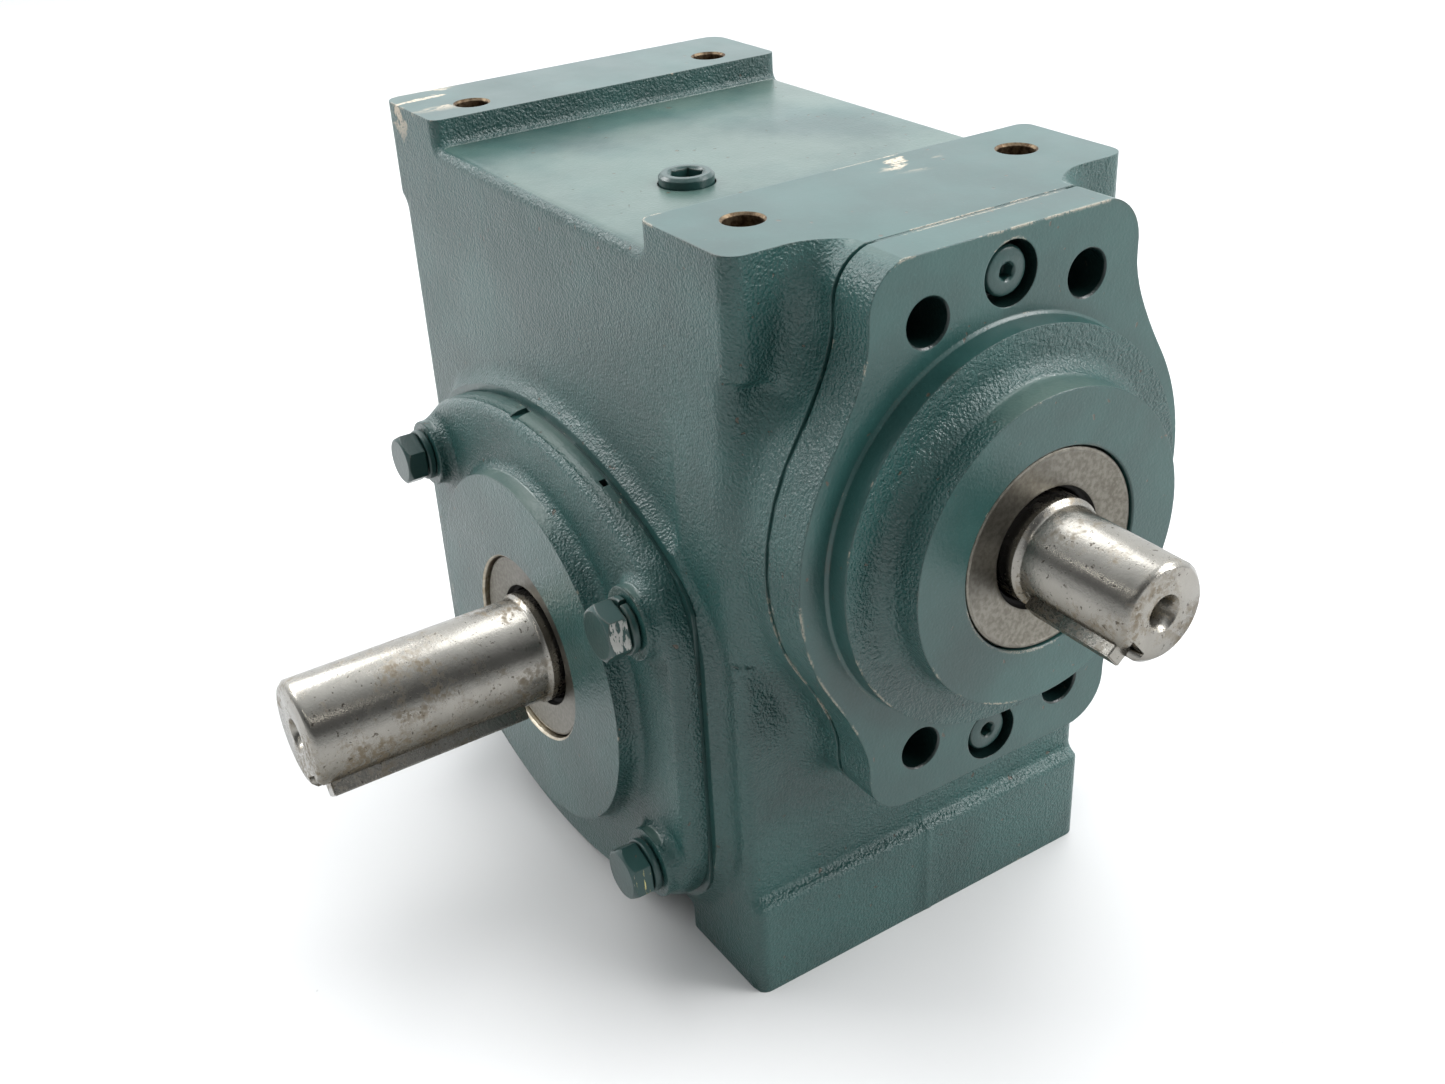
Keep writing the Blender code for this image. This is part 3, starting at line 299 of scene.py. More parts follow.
def bare_steel(name, patina=0.5):
    """Ground shaft steel: brown stains, a little more of them on the underside, painted shade darkening the underside,
    and dark specks.
    """
    n = Nodes(name)
    # The downward-facing side: darkened as painted shade, and stained a little more.
    under = n.add("SeparateXYZ", Vector=n.add("TexCoord").outputs["Normal"]).outputs["Z"]
    under = n.band(under, 0.25, -0.75)
    broad = n.math("ADD", n.noise(60, 5.0, 0.7), n.math("MULTIPLY", under, 0.10))
    freckle = n.noise(620, 4.0, 0.75)
    stain = n.math("MULTIPLY", n.band(broad, 0.58 - 0.2 * patina, 0.72 - 0.2 * patina), n.band(freckle, 0.42, 0.58))
    specks = n.band(n.noise(950, 2.0, 0.6), 0.64, 0.70)
    colour = n.mix(n.noise(210, 3.0), (0.22, 0.21, 0.19), (0.33, 0.317, 0.288))
    # Painted shade: the underside is darkened towards dark brown.
    colour = n.mix(n.math("MULTIPLY", under, 0.85), colour, (0.062, 0.053, 0.031))
    colour = n.mix(n.math("MULTIPLY", stain, 0.7), colour, (0.15, 0.115, 0.07))
    colour = n.mix(n.math("MULTIPLY", specks, 0.75), colour, (0.04, 0.03, 0.02))
    rough = n.math("ADD", 0.18, n.math("MULTIPLY", stain, 0.30))
    rough = n.math("ADD", rough, n.math("MULTIPLY", n.noise(130, 4.0), 0.12))
    height = n.math("SUBTRACT", n.noise(1300, 2.0), n.math("MULTIPLY", specks, 0.6))
    return n.finish(colour, rough, height, 0.00003, 0.00025, 1.0)


def metal(name, first, second, roughness, scale=300):
    n = Nodes(name)
    grain = n.noise(scale, 4.0, 0.6)
    colour = n.mix(n.band(grain, 0.35, 0.65), first, second)
    rough = n.math("ADD", roughness, n.math("MULTIPLY", n.noise(120, 3.0), 0.15))
    return n.finish(colour, rough, grain, 0.00004, 0.0003, 1.0)


CAST = paint("painted_casting", 0.00044, 0.03, dust=0.55)
SMOOTH = paint("painted_machined_face", 0.00006, 0.05)
# Holes, counterbores and a pry notch: the paint darkened to 22% as painted shade inside the recesses.
HOLE_PAINT_SHADE = paint("hole_paint_with_painted_shade", 0.00012, 0.0, dark=0.22)
ROUGH_FACE = paint("painted_rough_face", 0.00022, 0.04)
# Bolts, washers, screws, plugs, the end cup and gasket edges: the casting paint darkened to 72% as painted shade.
FASTENER_PAINT_SHADED = paint("fastener_paint_with_painted_shade", 0.00006, 0.04, 0.0007, dark=0.72)
STEEL = bare_steel("ground_steel")
KEY_STEEL = bare_steel("key_steel", 0.8)
SEAL_CASE = metal("seal_case", (0.13, 0.12, 0.10), (0.19, 0.18, 0.155), 0.32, 900)
THREAD = metal("rusty_thread", (0.065, 0.042, 0.026), (0.19, 0.145, 0.095), 0.45, 700)
BARE = metal("bare_bore", (0.36, 0.31, 0.23), (0.50, 0.46, 0.38), 0.28, 500)


def scraped_paint(name, under, share, length):
    """A bolt flat scored by a spanner: upright streaks of what lies under the paint, longer as length falls."""
    n = Nodes(name)
    streak = n.noise(900, 3.0, 0.6, stretch=(1.6, 1.6, length))
    bare = n.band(streak, share, share + 0.05)
    colour = n.mix(bare, PAINT_DARK, under)
    rough = n.math("ADD", 0.30, n.math("MULTIPLY", n.noise(300), 0.15))
    return n.finish(colour, rough, streak, 0.00008, 0.0003, n.math("MULTIPLY", bare, 0.9))


SCRAPED = scraped_paint("scraped_bolt_flat", (0.34, 0.34, 0.32), 0.49, 0.10)
SCORED = scraped_paint("scored_bolt_flat", (0.55, 0.50, 0.22), 0.60, 0.15)
BRONZE = metal("bronze", (0.50, 0.30, 0.11), (0.62, 0.41, 0.17), 0.28)
IRON = metal("grey_iron", (0.13, 0.13, 0.13), (0.21, 0.21, 0.20), 0.45)


def dark_fibre(name, colour):
    n = Nodes(name)
    grain = n.noise(1200, 3.0)
    return n.finish(n.mix(grain, shade(colour, 0.6), colour), 0.8, grain, 0.00005)


FIBRE = dark_fibre("gasket_fibre", (0.035, 0.034, 0.030))
RUBBER = dark_fibre("seal_rubber", (0.018, 0.017, 0.016))

# The material slots of every casting and of the tools that cut it
SKINS = (CAST, SMOOTH, HOLE_PAINT_SHADE, THREAD, BARE)


# ---------------------------------------------------------------- meshes

def add_object(name, data, materials=()):
    """Makes an object from a bmesh, with its faces pointing out."""
    bmesh.ops.recalc_face_normals(data, faces=data.faces)
    if data.calc_volume(signed=True) < 0:
        bmesh.ops.reverse_faces(data, faces=data.faces)
    mesh = bpy.data.meshes.new(name)
    data.to_mesh(mesh)
    data.free()
    for material in materials:
        mesh.materials.append(material)
    obj = bpy.data.objects.new(name, mesh)
    bpy.context.scene.collection.objects.link(obj)
    soften(mesh)
    return obj


def soften(mesh, angle=30):
    mesh.shade_smooth()
    mesh.set_sharp_from_angle(angle=radians(angle))


def frame_along(axis, origin):
    """A matrix whose +Z runs along axis from origin."""
    side = Y_AXIS if abs(axis.x) > 0.5 else X_AXIS
    turn = Matrix((side, axis.cross(side), axis)).transposed().to_4x4()
    return Matrix.Translation(origin) @ turn


def loft(data, rings, closed):
    """Faces between successive rings of points, which all have the same count."""
    count = len(rings[0])
    pairs = list(zip(rings, rings[1:]))
    if closed:
        pairs.append((rings[-1], rings[0]))
    for low, high in pairs:
        for i in range(count):
            j = (i + 1) % count
            data.faces.new((low[i], low[j], high[j], high[i]))
    if not closed:
        data.faces.new(rings[0])
        data.faces.new(rings[-1])


def turned(name, profile, axis, origin, materials=(), closed=False, sides=96, slot=0):
    """A turned solid. The profile lists (distance along the axis, radius)."""
    data = bmesh.new()
    place = frame_along(axis, origin)
    turns = [2 * pi * i / sides for i in range(sides)]
    rings = [[data.verts.new(place @ Vector((r * cos(a), r * sin(a), along))) for a in turns]
             for along, r in profile]
    loft(data, rings, closed)
    for face in data.faces:
        face.material_index = slot
    return add_object(name, data, materials)


def block(name, low, high, materials=(), slot=0):
    data = bmesh.new()
    bmesh.ops.create_cube(data, size=1)
    middle, size = (Vector(low) + Vector(high)) / 2, Vector(high) - Vector(low)
    for vert in data.verts:
        vert.co = middle + Vector(a * b for a, b in zip(vert.co, size))
    for face in data.faces:
        face.material_index = slot
    return add_object(name, data, materials)


def machine(obj, cutters, operation="DIFFERENCE", smooth=30):
    """Cuts each cutter from obj, then keeps the result as a plain mesh."""
    for cutter in cutters:
        boolean = obj.modifiers.new(cutter.name, "BOOLEAN")
        boolean.operation = operation
        boolean.solver = "MANIFOLD"
        boolean.object = cutter
    graph = bpy.context.evaluated_depsgraph_get()
    mesh = bpy.data.meshes.new_from_object(obj.evaluated_get(graph))
    obj.modifiers.clear()
    obj.data = mesh
    mesh.name = obj.name
    soften(mesh, smooth)
    for cutter in cutters:
        bpy.data.objects.remove(cutter)
    return obj


def fit(obj, body, slot, *nodes):
    """The piece stands for these nodes and rides on their body. The slot is not used."""
    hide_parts(*nodes)
    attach(obj, body)


# ---------------------------------------------------------------- castings as distance fields

def box_field(u, v, low, high, corner=0.0):
    """Distance to a rectangle in the plane of u and v, with rounded corners."""
    du = np.abs(u - (low[0] + high[0]) / 2) - (high[0] - low[0]) / 2 + corner
    dv = np.abs(v - (low[1] + high[1]) / 2) - (high[1] - low[1]) / 2 + corner
    return np.hypot(np.maximum(du, 0), np.maximum(dv, 0)) + np.minimum(np.maximum(du, dv), 0) - corner


def merge(a, b, fillet):
    """Union, with a round fillet where the two surfaces meet."""
    return np.maximum(fillet, np.minimum(a, b)) - np.hypot(np.maximum(fillet - a, 0), np.maximum(fillet - b, 0))


def common(a, b, rounding):
    """Intersection, with a rounded edge."""
    return np.minimum(-rounding, np.maximum(a, b)) + np.hypot(np.maximum(rounding + a, 0), np.maximum(rounding + b, 0))


def slab(value, low, high):
    return np.maximum(low - value, value - high)


def slope(field, points):
    """The field's value and gradient at each point."""
    step, x, y, z = 0.0001, points[:, 0], points[:, 1], points[:, 2]
    gradient = np.stack([field(x + step, y, z) - field(x - step, y, z), field(x, y + step, z) - field(x, y - step, z),
                         field(x, y, z + step) - field(x, y, z - step)], axis=1) / (2 * step)
    return field(x, y, z), gradient


def settle(field, points, reach):
    """Moves each point onto the field's surface, by a third of reach at most."""
    for _ in range(2):
        value, gradient = slope(field, points)
        size = np.maximum(np.linalg.norm(gradient, axis=1), 0.3)
        points = points - gradient * (np.clip(value / size, -reach / 3, reach / 3) / size)[:, None]
    return points


def shade_casting(obj, field):
    """Gives the cast faces the field's own normals, so that their shading runs smoothly across the mesh."""
    mesh = obj.data
    corners = np.zeros(len(mesh.loops) * 3, dtype=np.float32)
    mesh.corner_normals.foreach_get("vector", corners)
    corners = corners.reshape(-1, 3)
    places = np.zeros(len(mesh.vertices) * 3, dtype=np.float32)
    mesh.vertices.foreach_get("co", places)
    _, gradient = slope(field, places.reshape(-1, 3).astype(np.float64))
    size = np.linalg.norm(gradient, axis=1)
    gradient = gradient / np.maximum(size, 1e-6)[:, None]
    owner = np.zeros(len(mesh.loops), dtype=np.int32)
    mesh.loops.foreach_get("vertex_index", owner)
    slots = np.zeros(len(mesh.polygons), dtype=np.int32)
    mesh.polygons.foreach_get("material_index", slots)
    totals = np.zeros(len(mesh.polygons), dtype=np.int32)
    mesh.polygons.foreach_get("loop_total", totals)
    normals = gradient[owner]
    agree = (normals * corners).sum(axis=1) > 0.5
    use = (np.repeat(slots, totals) == 0) & agree & (size[owner] > 0.5)
    corners[use] = normals[use]
    faces = np.zeros(len(mesh.polygons) * 3, dtype=np.float32)
    mesh.polygons.foreach_get("normal", faces)
    faces = np.repeat(faces.reshape(-1, 3), totals, axis=0)
    machined = (np.repeat(slots, totals) == 1) & (np.abs(faces).max(axis=1) > 0.9999)
    corners[machined] = faces[machined]
    mesh.normals_split_custom_set(corners.tolist())


def cast(name, field, low, high, voxel):
    """A closed mesh of where field is negative, read on a grid of voxel size."""
    low, high = Vector(low), Vector(high)
    counts = [int(round(s / voxel)) + 1 for s in high - low]
    axes = [np.float32(low[i]) + np.float32(voxel) * np.arange(counts[i], dtype=np.float32) for i in range(3)]
    x, y, z = np.meshgrid(*axes, indexing="ij", sparse=True)
    values = np.ascontiguousarray(np.broadcast_to(field(x, y, z), counts), dtype=np.float32) / np.float32(voxel)
    grid = openvdb.FloatGrid(3.0)
    grid.copyFromArray(np.clip(values, -3, 3))
    points, triangles, quads = grid.convertToPolygons(isovalue=0.0, adaptivity=THRIFT)
    points = settle(field, points * voxel + np.array(low), voxel)
    mesh = bpy.data.meshes.new(name)
    faces = [tuple(f) for f in triangles[:, ::-1].tolist()] + [tuple(f) for f in quads[:, ::-1].tolist()]
    mesh.from_pydata(points.tolist(), [], faces)
    for material in SKINS:
        mesh.materials.append(material)
    data = bmesh.new()
    data.from_mesh(mesh)
    bmesh.ops.recalc_face_normals(data, faces=data.faces)
    data.to_mesh(mesh)
    data.free()
    obj = bpy.data.objects.new(name, mesh)
    bpy.context.scene.collection.objects.link(obj)
    return obj


def flange_field(y, z, grow=0.0):
    lobes = box_field(y, z, (-LOBE_HALF - grow, WORM_Z - LOBE_TOP - grow), (LOBE_HALF + grow, HEIGHT + 0.0003),
                      LOBE_CORNER + grow)
    return merge(lobes, np.hypot(y, z - WORM_Z) - FLANGE_R - grow, 0.010)


def cover_field(x, z, grow=0.0):
    top = COVER_HIGH.z - WHEEL_Z
    drop = top - COVER_BOLT_Z
    crown = (COVER_BOLT_X ** 2 + drop ** 2 - COVER_CORNER_R ** 2) / (2 * (drop - COVER_CORNER_R))
    side = np.abs(x - WHEEL_X) - (COVER_BOLT_X + COVER_CORNER_R)
    crowned = np.hypot(x - WHEEL_X, np.abs(z - WHEEL_Z) + crown - top) - crown
    return common(side, crowned, COVER_CORNER_R) - grow


def bolt_field(x, z, radius):
    """Distance to the four bolt pads, seen along Y."""
    return np.hypot(np.abs(x - WHEEL_X) - COVER_BOLT_X, np.abs(z - WHEEL_Z) - COVER_BOLT_Z) - radius


def housing_field(x, y, z):
    stock = 0.006
    wall_front, wall_rear = FRONT_X - END_SETBACK, REAR_X + END_SETBACK
    profile = box_field(x, z, (wall_rear, PAD_STEP), (wall_front, HEIGHT - PAD_STEP), 0.002)
    for low_z, high_z in ((-stock, END_PAD_HEIGHT), (HEIGHT - END_PAD_HEIGHT, HEIGHT + stock)):
        front = box_field(x, z, (FRONT_X - FRONT_PAD, low_z), (FRONT_X, high_z), 0.0021)
        rear = box_field(x, z, (REAR_X, low_z), (REAR_X + REAR_PAD, high_z), 0.0021)
        profile = merge(profile, np.minimum(front, rear), 0.0020)
    middle_x = (FRONT_X + REAR_X) / 2
    reach = np.clip((np.abs(x - middle_x) - (FRONT_X - middle_x) + 0.016) / 0.008, 0, 1)
    parting = np.where(np.abs(x - middle_x) > (FRONT_X - REAR_X) / 2 - 0.006, 0.0003, 0)
    profile = np.maximum(profile - parting * np.exp(-(y / 0.0009) ** 2), REAR_X - x)
    ends = np.where(z < HEIGHT / 2, 0.0002, 0.0020)
    body = common(profile, np.abs(y) - SIDE_Y, 0.0030 + ends * reach)
    front_boss = np.maximum(flange_field(y, z, 0.0002), slab(x, FRONT_X - 0.02, BOSS_END_X + 0.004))
    body = merge(body, front_boss, 0.0075)
    seat = common(cover_field(x, z, 0.0018), np.abs(y) - SEAT_Y - 0.0002, 0.0016)
    body = merge(body, seat, 0.0055)
    floor = PAD_STEP + 0.0085
    cavity = np.maximum(box_field(x, z, (wall_rear + WALL, floor), (wall_front - WALL, HEIGHT - floor), 0.004),
                        np.abs(y) - SIDE_Y + WALL)
    body = np.maximum(body, -cavity)
    rear_boss = np.maximum(np.hypot(y, z - WORM_Z) - 0.034, slab(x, REAR_X + WALL / 2, REAR_X + 0.026))
    return merge(body, rear_boss, 0.002)


def drills(prefix, axis, places, low, high, radius, slot=2, sides=48):
    return [turned(f"{prefix}{i}", [(low, radius), (high, radius)], axis, place, SKINS, sides=sides,
                   slot=slot) for i, place in enumerate(places)]


def bolt_places():
    return [Vector((WHEEL_X + u * COVER_BOLT_X, 0, WHEEL_Z + v * COVER_BOLT_Z)) for u in (1, -1) for v in (1, -1)]


def make_housing():
    margin = 0.009
    low = Vector((REAR_X - margin, -SEAT_Y - margin, -margin))
    high = Vector((BOSS_END_X + margin, SEAT_Y + margin, HEIGHT + margin))
    housing = cast("housing_casting", housing_field, low, high, VOXEL)
    far = 0.05
    cutters = [
        block("cut_top", (low.x, low.y, HEIGHT), (high.x, high.y, HEIGHT + far), SKINS, 1),
        block("cut_bottom", (low.x, low.y, -far), (high.x, high.y, 0), SKINS, 1),
        block("cut_front", (BOSS_END_X, low.y, -far), (BOSS_END_X + far, high.y, HEIGHT + far), SKINS, 1),
        block("cut_left", (low.x, -SEAT_Y - far, -far), (high.x, -SEAT_Y, HEIGHT + far), SKINS, 1),
        block("cut_right", (low.x, SEAT_Y, -far), (high.x, SEAT_Y + far, HEIGHT + far), SKINS, 1),
    ]
    cutters += drills("side_bore", Y_AXIS, [WHEEL_CENTRE], -0.1, 0.1, SIDE_BORE_R, 1, 128)
    cutters += drills("front_bore", X_AXIS, [WORM_LINE], FRONT_X - 0.03, BOSS_END_X + 0.01, 0.033, 1, 96)
    cutters += drills("rear_bore", X_AXIS, [WORM_LINE], REAR_X - 0.01, REAR_X + 0.05, 0.0263, 1, 96)
    pads = [Vector((x, y, 0)) for x in MOUNT_HOLE_XS for y in (-MOUNT_HOLE_Y, MOUNT_HOLE_Y)]
    cutters += tapped_holes("pad_hole", Z_AXIS, [p + Z_AXIS * HEIGHT for p in pads])
    cutters += tapped_holes("foot_hole", -Z_AXIS, pads)
    for sign in (1, -1):
        cutters += drills(f"tapping{sign}", Y_AXIS * sign, bolt_places(), SIDE_Y - 0.012, SEAT_Y + 0.01, BOLT_HOLE_R)
        cutters += drills(f"screw_tapping{sign}", X_AXIS, [WORM_LINE + Z_AXIS * sign * SCREW_Z], FRONT_X - 0.012,
                          FRONT_X + 0.03, 0.0036)
    for name, axis, place in plug_places():
        cutters += drills(f"{name}_hole", axis, [place], -0.02, 0.01, 0.0070)
    machine(housing, cutters)
    shade_casting(housing, housing_field)
    fit(housing, "casing", "green_paint", "housing")


def tapped_holes(prefix, axis, mouths):
    """Cutters for threaded holes with a small countersink: grooves stand for the thread."""
    core, mouth = MOUNT_HOLE_R - THREAD_DEPTH, MOUNT_HOLE_R + 0.0002
    profile = [(-MOUNT_HOLE_DEPTH, core)]
    for i in range(int((MOUNT_HOLE_DEPTH - 0.002) / THREAD_PITCH)):
        start = -MOUNT_HOLE_DEPTH + THREAD_PITCH * i + 0.0005
        profile += [(start, core), (start + THREAD_PITCH / 2, MOUNT_HOLE_R)]
    profile += [(-0.0006, MOUNT_HOLE_R - THREAD_DEPTH * 0.4), (0, mouth), (0.004, mouth)]
    return [turned(f"{prefix}{i}", profile, axis, mouth, SKINS, sides=48, slot=3)
            for i, mouth in enumerate(mouths)]


def plug_places():
    """Each plug's name, outward axis and the point where it meets the casting."""
    places = []
    for name, axis in (("fill_plug", Z_AXIS), ("level_plug", -X_AXIS), ("drain_plug", -X_AXIS)):
        low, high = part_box(name)
        place = (low + high) / 2
        if axis is Z_AXIS:
            place.z = HEIGHT - PAD_STEP
        else:
            place.x = REAR_X + END_SETBACK
        places.append((name, axis, place))
    return places


def flange_body_field(x, y, z):
    plate = np.maximum(flange_field(y, z), slab(x, FLANGE_BACK_X - 0.003, FLANGE_FACE_X + 0.003))
    radius = np.hypot(y, z - WORM_Z)
    pilot = common(radius - PILOT_R - 0.002, x - PILOT_END_X, 0.0008)
    neck = common(radius - NECK_R - 0.0002, x - BOSS_FACE_X - 0.003, 0.001)
    raised = merge(pilot, neck, 0.0048)
    raised = np.maximum(raised, FLANGE_BACK_X - 0.003 - x)
    spigot = np.maximum(radius - SPIGOT_R, slab(x, FLANGE_LOW.x, FLANGE_FACE_X))
    return np.minimum(np.minimum(plate, raised), spigot)


def make_input_flange():
    margin = 0.008
    low = Vector((FLANGE_LOW.x - margin, -FLANGE_R - margin, FLANGE_LOW.z - margin))
    high = Vector((BOSS_FACE_X + margin, FLANGE_R + margin, FLANGE_HIGH.z + margin))
    flange = cast("input_flange_casting", flange_body_field, low, high, FINE_VOXEL)
    wide, edge, spigot_r = 0.1, 0.0004, SPIGOT_R - 0.0003
    back = turned("back_cut", [
        (FLANGE_LOW.x - 0.01, spigot_r), (FLANGE_BACK_X, spigot_r), (FLANGE_BACK_X, wide),
        (FLANGE_LOW.x - 0.01, wide)], X_AXIS, WORM_LINE, SKINS, True, 128, 1)
    face = turned("face_cut", [
        (FLANGE_FACE_X, PILOT_R + 0.0006), (FLANGE_FACE_X + 0.0006, PILOT_R), (PILOT_END_X + 0.002, PILOT_R - edge),
        (PILOT_END_X + 0.002, wide), (FLANGE_FACE_X, wide)], X_AXIS, WORM_LINE, SKINS, True, 160, 1)
    boss = turned("boss_cut", [(BOSS_FACE_X, wide), (BOSS_FACE_X + 0.02, wide)], X_AXIS, WORM_LINE, SKINS, sides=32,
                  slot=1)
    seal_r = (INPUT_SEAL_HIGH.z - INPUT_SEAL_LOW.z) / 2 + GAP
    bore = turned("bore_cut", [
        (FLANGE_LOW.x - 0.01, 0.0263), (FRONT_X + 0.0183, 0.0263), (FRONT_X + 0.0183, 0.020),
        (FRONT_X + 0.0272, 0.020), (FRONT_X + 0.0272, seal_r), (BOSS_FACE_X - 0.0003, seal_r),
        (BOSS_FACE_X, seal_r + 0.0003), (BOSS_FACE_X + 0.01, seal_r + 0.0003)],
        X_AXIS, WORM_LINE, SKINS, sides=128, slot=1)
    cutters = [back, face, boss, bore]
    cutters.append(block("lobe_cut", (-0.05, -0.1, HEIGHT - 0.00004), (0.1, 0.1, HEIGHT + 0.1), SKINS, 1))
    holes = [WORM_LINE + Vector((0, u * FLANGE_HOLE_Y, v * FLANGE_HOLE_Z)) for u in (1, -1) for v in (1, -1)]
    for i, place in enumerate(holes):
        cutters.append(turned(f"flange_hole{i}", [
            (FLANGE_BACK_X - 0.01, FLANGE_HOLE_R), (FLANGE_FACE_X - 0.0004, FLANGE_HOLE_R),
            (FLANGE_FACE_X, FLANGE_HOLE_R + 0.0004), (FLANGE_FACE_X + 0.01, FLANGE_HOLE_R + 0.0004)],
            X_AXIS, place, SKINS, sides=64, slot=2))
    for sign in (1, -1):
        cutters.append(turned(f"counterbore{sign}", [
            (FLANGE_BACK_X - 0.01, 0.0036), (FLANGE_FACE_X - COUNTERBORE_DEPTH, 0.0036),
            (FLANGE_FACE_X - COUNTERBORE_DEPTH, COUNTERBORE_R), (FLANGE_FACE_X + 0.01, COUNTERBORE_R)],
            X_AXIS, WORM_LINE + Z_AXIS * sign * SCREW_Z, SKINS, sides=64, slot=2))
    machine(flange, cutters)
    shade_casting(flange, flange_body_field)
    fit(flange, "casing", "green_paint", "input_flange")


def cover_body_field(boss_y):
    """The field of a side cover whose boss ends at boss_y, on the side of positive y."""
    def field(x, y, z):
        y = np.abs(y)
        rise = np.clip((y - COVER_BACK_Y - 0.002) / (COVER_RIM_Y - COVER_BACK_Y), 0, 1)
        rim = common(cover_field(x, z) + COVER_DRAFT * rise, y - COVER_RIM_Y, 0.0020)
        radius = np.hypot(x - WHEEL_X, z - WHEEL_Z)
        boss = common(radius - COVER_BOSS_R - 0.16 * np.maximum(boss_y - y, 0), y - boss_y - 0.002, 0.0008)
        rim = merge(rim, boss, 0.0025)
        pads = common(bolt_field(x, z, 0.0092), y - COVER_SEAT_Y - 0.0006, 0.0012)
        plate = np.maximum(merge(rim, pads, 0.0028), COVER_BACK_Y - 0.003 - y)
        plate = np.maximum(plate, cover_field(x, z, 0.0))
        spigot = np.maximum(radius - SIDE_BORE_R + 0.0005, slab(y, 0.0505, COVER_BACK_Y + 0.002))
        hub = np.maximum(radius - 0.038, slab(y, 0.0409, COVER_BACK_Y))
        return np.minimum(np.minimum(plate, spigot), hub)
    return field


def make_cover(name, node, sign, boss_y, seal_pocket):
    margin = 0.008
    near, far = sorted((sign * 0.033, sign * (0.070 + margin)))
    field = cover_body_field(boss_y)
    cover = cast(name, field, (COVER_LOW.x - margin, near, COVER_LOW.z - margin),
                 (COVER_HIGH.x + margin, far, COVER_HIGH.z + margin), FINE_VOXEL)
    axis = Y_AXIS * sign
    bore = [(0.03, 0.0313), (0.0583, 0.0313), (0.0583, 0.022), (0.061, 0.022)]
    if seal_pocket:
        seal_r = (OUTPUT_SEAL_HIGH.z - OUTPUT_SEAL_LOW.z) / 2 + GAP
        bore += [(0.061, seal_r), (boss_y - 0.0005, seal_r), (boss_y, seal_r + 0.0005), (0.09, seal_r + 0.0005)]
    spigot_r, wide = SIDE_BORE_R - 0.0009, 0.12
    cutters = [
        turned(f"{name}_bore", bore, axis, WHEEL_CENTRE, SKINS, sides=128, slot=4),
        turned(f"{name}_back", [(0.045, spigot_r), (COVER_BACK_Y, spigot_r), (COVER_BACK_Y, wide), (0.045, wide)],
               axis, WHEEL_CENTRE, SKINS, True, 128, 1),
        turned(f"{name}_face", [(boss_y, 0.0495), (0.09, 0.0495)], axis, WHEEL_CENTRE, SKINS, sides=128, slot=1),
    ]
    for i, place in enumerate(bolt_places()):
        cutters.append(turned(f"{name}_seat{i}", [
            (0.045, BOLT_HOLE_R), (COVER_SEAT_Y, BOLT_HOLE_R), (COVER_SEAT_Y, 0.0095), (0.09, 0.0095)],
            axis, place, SKINS, sides=64, slot=1))
    top = COVER_HIGH.z
    for i, (offset, half, reach, floor, slot) in enumerate(COVER_NOTCHES):
        x = WHEEL_X + offset
        notch_near, notch_far = sorted((sign * (COVER_BACK_Y - 0.001), sign * (COVER_BACK_Y + reach)))
        cutters.append(block(f"{name}_notch{i}", (x - half, notch_near, top - floor),
                             (x + half, notch_far, top + 0.01), SKINS, slot))
    machine(cover, cutters)
    shade_casting(cover, field)
    cover.data.materials[1] = ROUGH_FACE
    fit(cover, "casing", "green_paint", node)


# ---------------------------------------------------------------- fasteners

# How far each hexagon is turned, by (towards the input end, upper), and the flats that a spanner has marked
BOLT_TURNS = {(True, True): 15, (True, False): 8, (False, True): 2, (False, False): 21}
MARKED_FLATS = {(-1, True, True): (5, 1), (-1, True, False): (5, 2)}


def make_bolt(node, sign):
    """A hex-head bolt: a hexagon cut from a turned head with a chamfered crown."""
    low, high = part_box(node)
    middle = Vector(((low.x + high.x) / 2, 0, (low.z + high.z) / 2))
    front, upper = middle.x > WHEEL_X, middle.z > WHEEL_Z
    turn = radians(BOLT_TURNS[front, upper] + 30)
    marked = MARKED_FLATS.get((sign, front, upper))
    axis = Y_AXIS * sign
    top = max(abs(low.y), abs(high.y))
    height, apothem = 0.0056, 0.00635
    corner = apothem / cos(pi / 6)
    under = top - height
    head = turned(node.replace("cover_bolt", "hex_bolt"), [
        (top - 0.0266, 0.0039), (under, 0.0039), (under, apothem * 0.97), (under + 0.0003, apothem * 0.98),
        (under + 0.0003, corner * 1.01), (top - 0.0011, corner * 1.01), (top - 0.0002, apothem * 0.98),
        (top, apothem * 0.93)], axis, middle, (FASTENER_PAINT_SHADED, SCRAPED, SCORED), sides=72)
    data = bmesh.new()
    place = frame_along(axis, middle)
    angles = [turn + pi * i / 3 for i in range(6)]
    rings = [[data.verts.new(place @ Vector((corner * cos(a), corner * sin(a), along))) for a in angles]
             for along in (top - 0.03, top + 0.01)]
    loft(data, rings, False)
    data.faces.ensure_lookup_table()
    if marked:
        data.faces[marked[0]].material_index = marked[1]
    hexagon = add_object("hexagon", data, (FASTENER_PAINT_SHADED, SCRAPED, SCORED))
    fit(machine(head, [hexagon], "INTERSECT", 25), "casing", "green_paint", node)


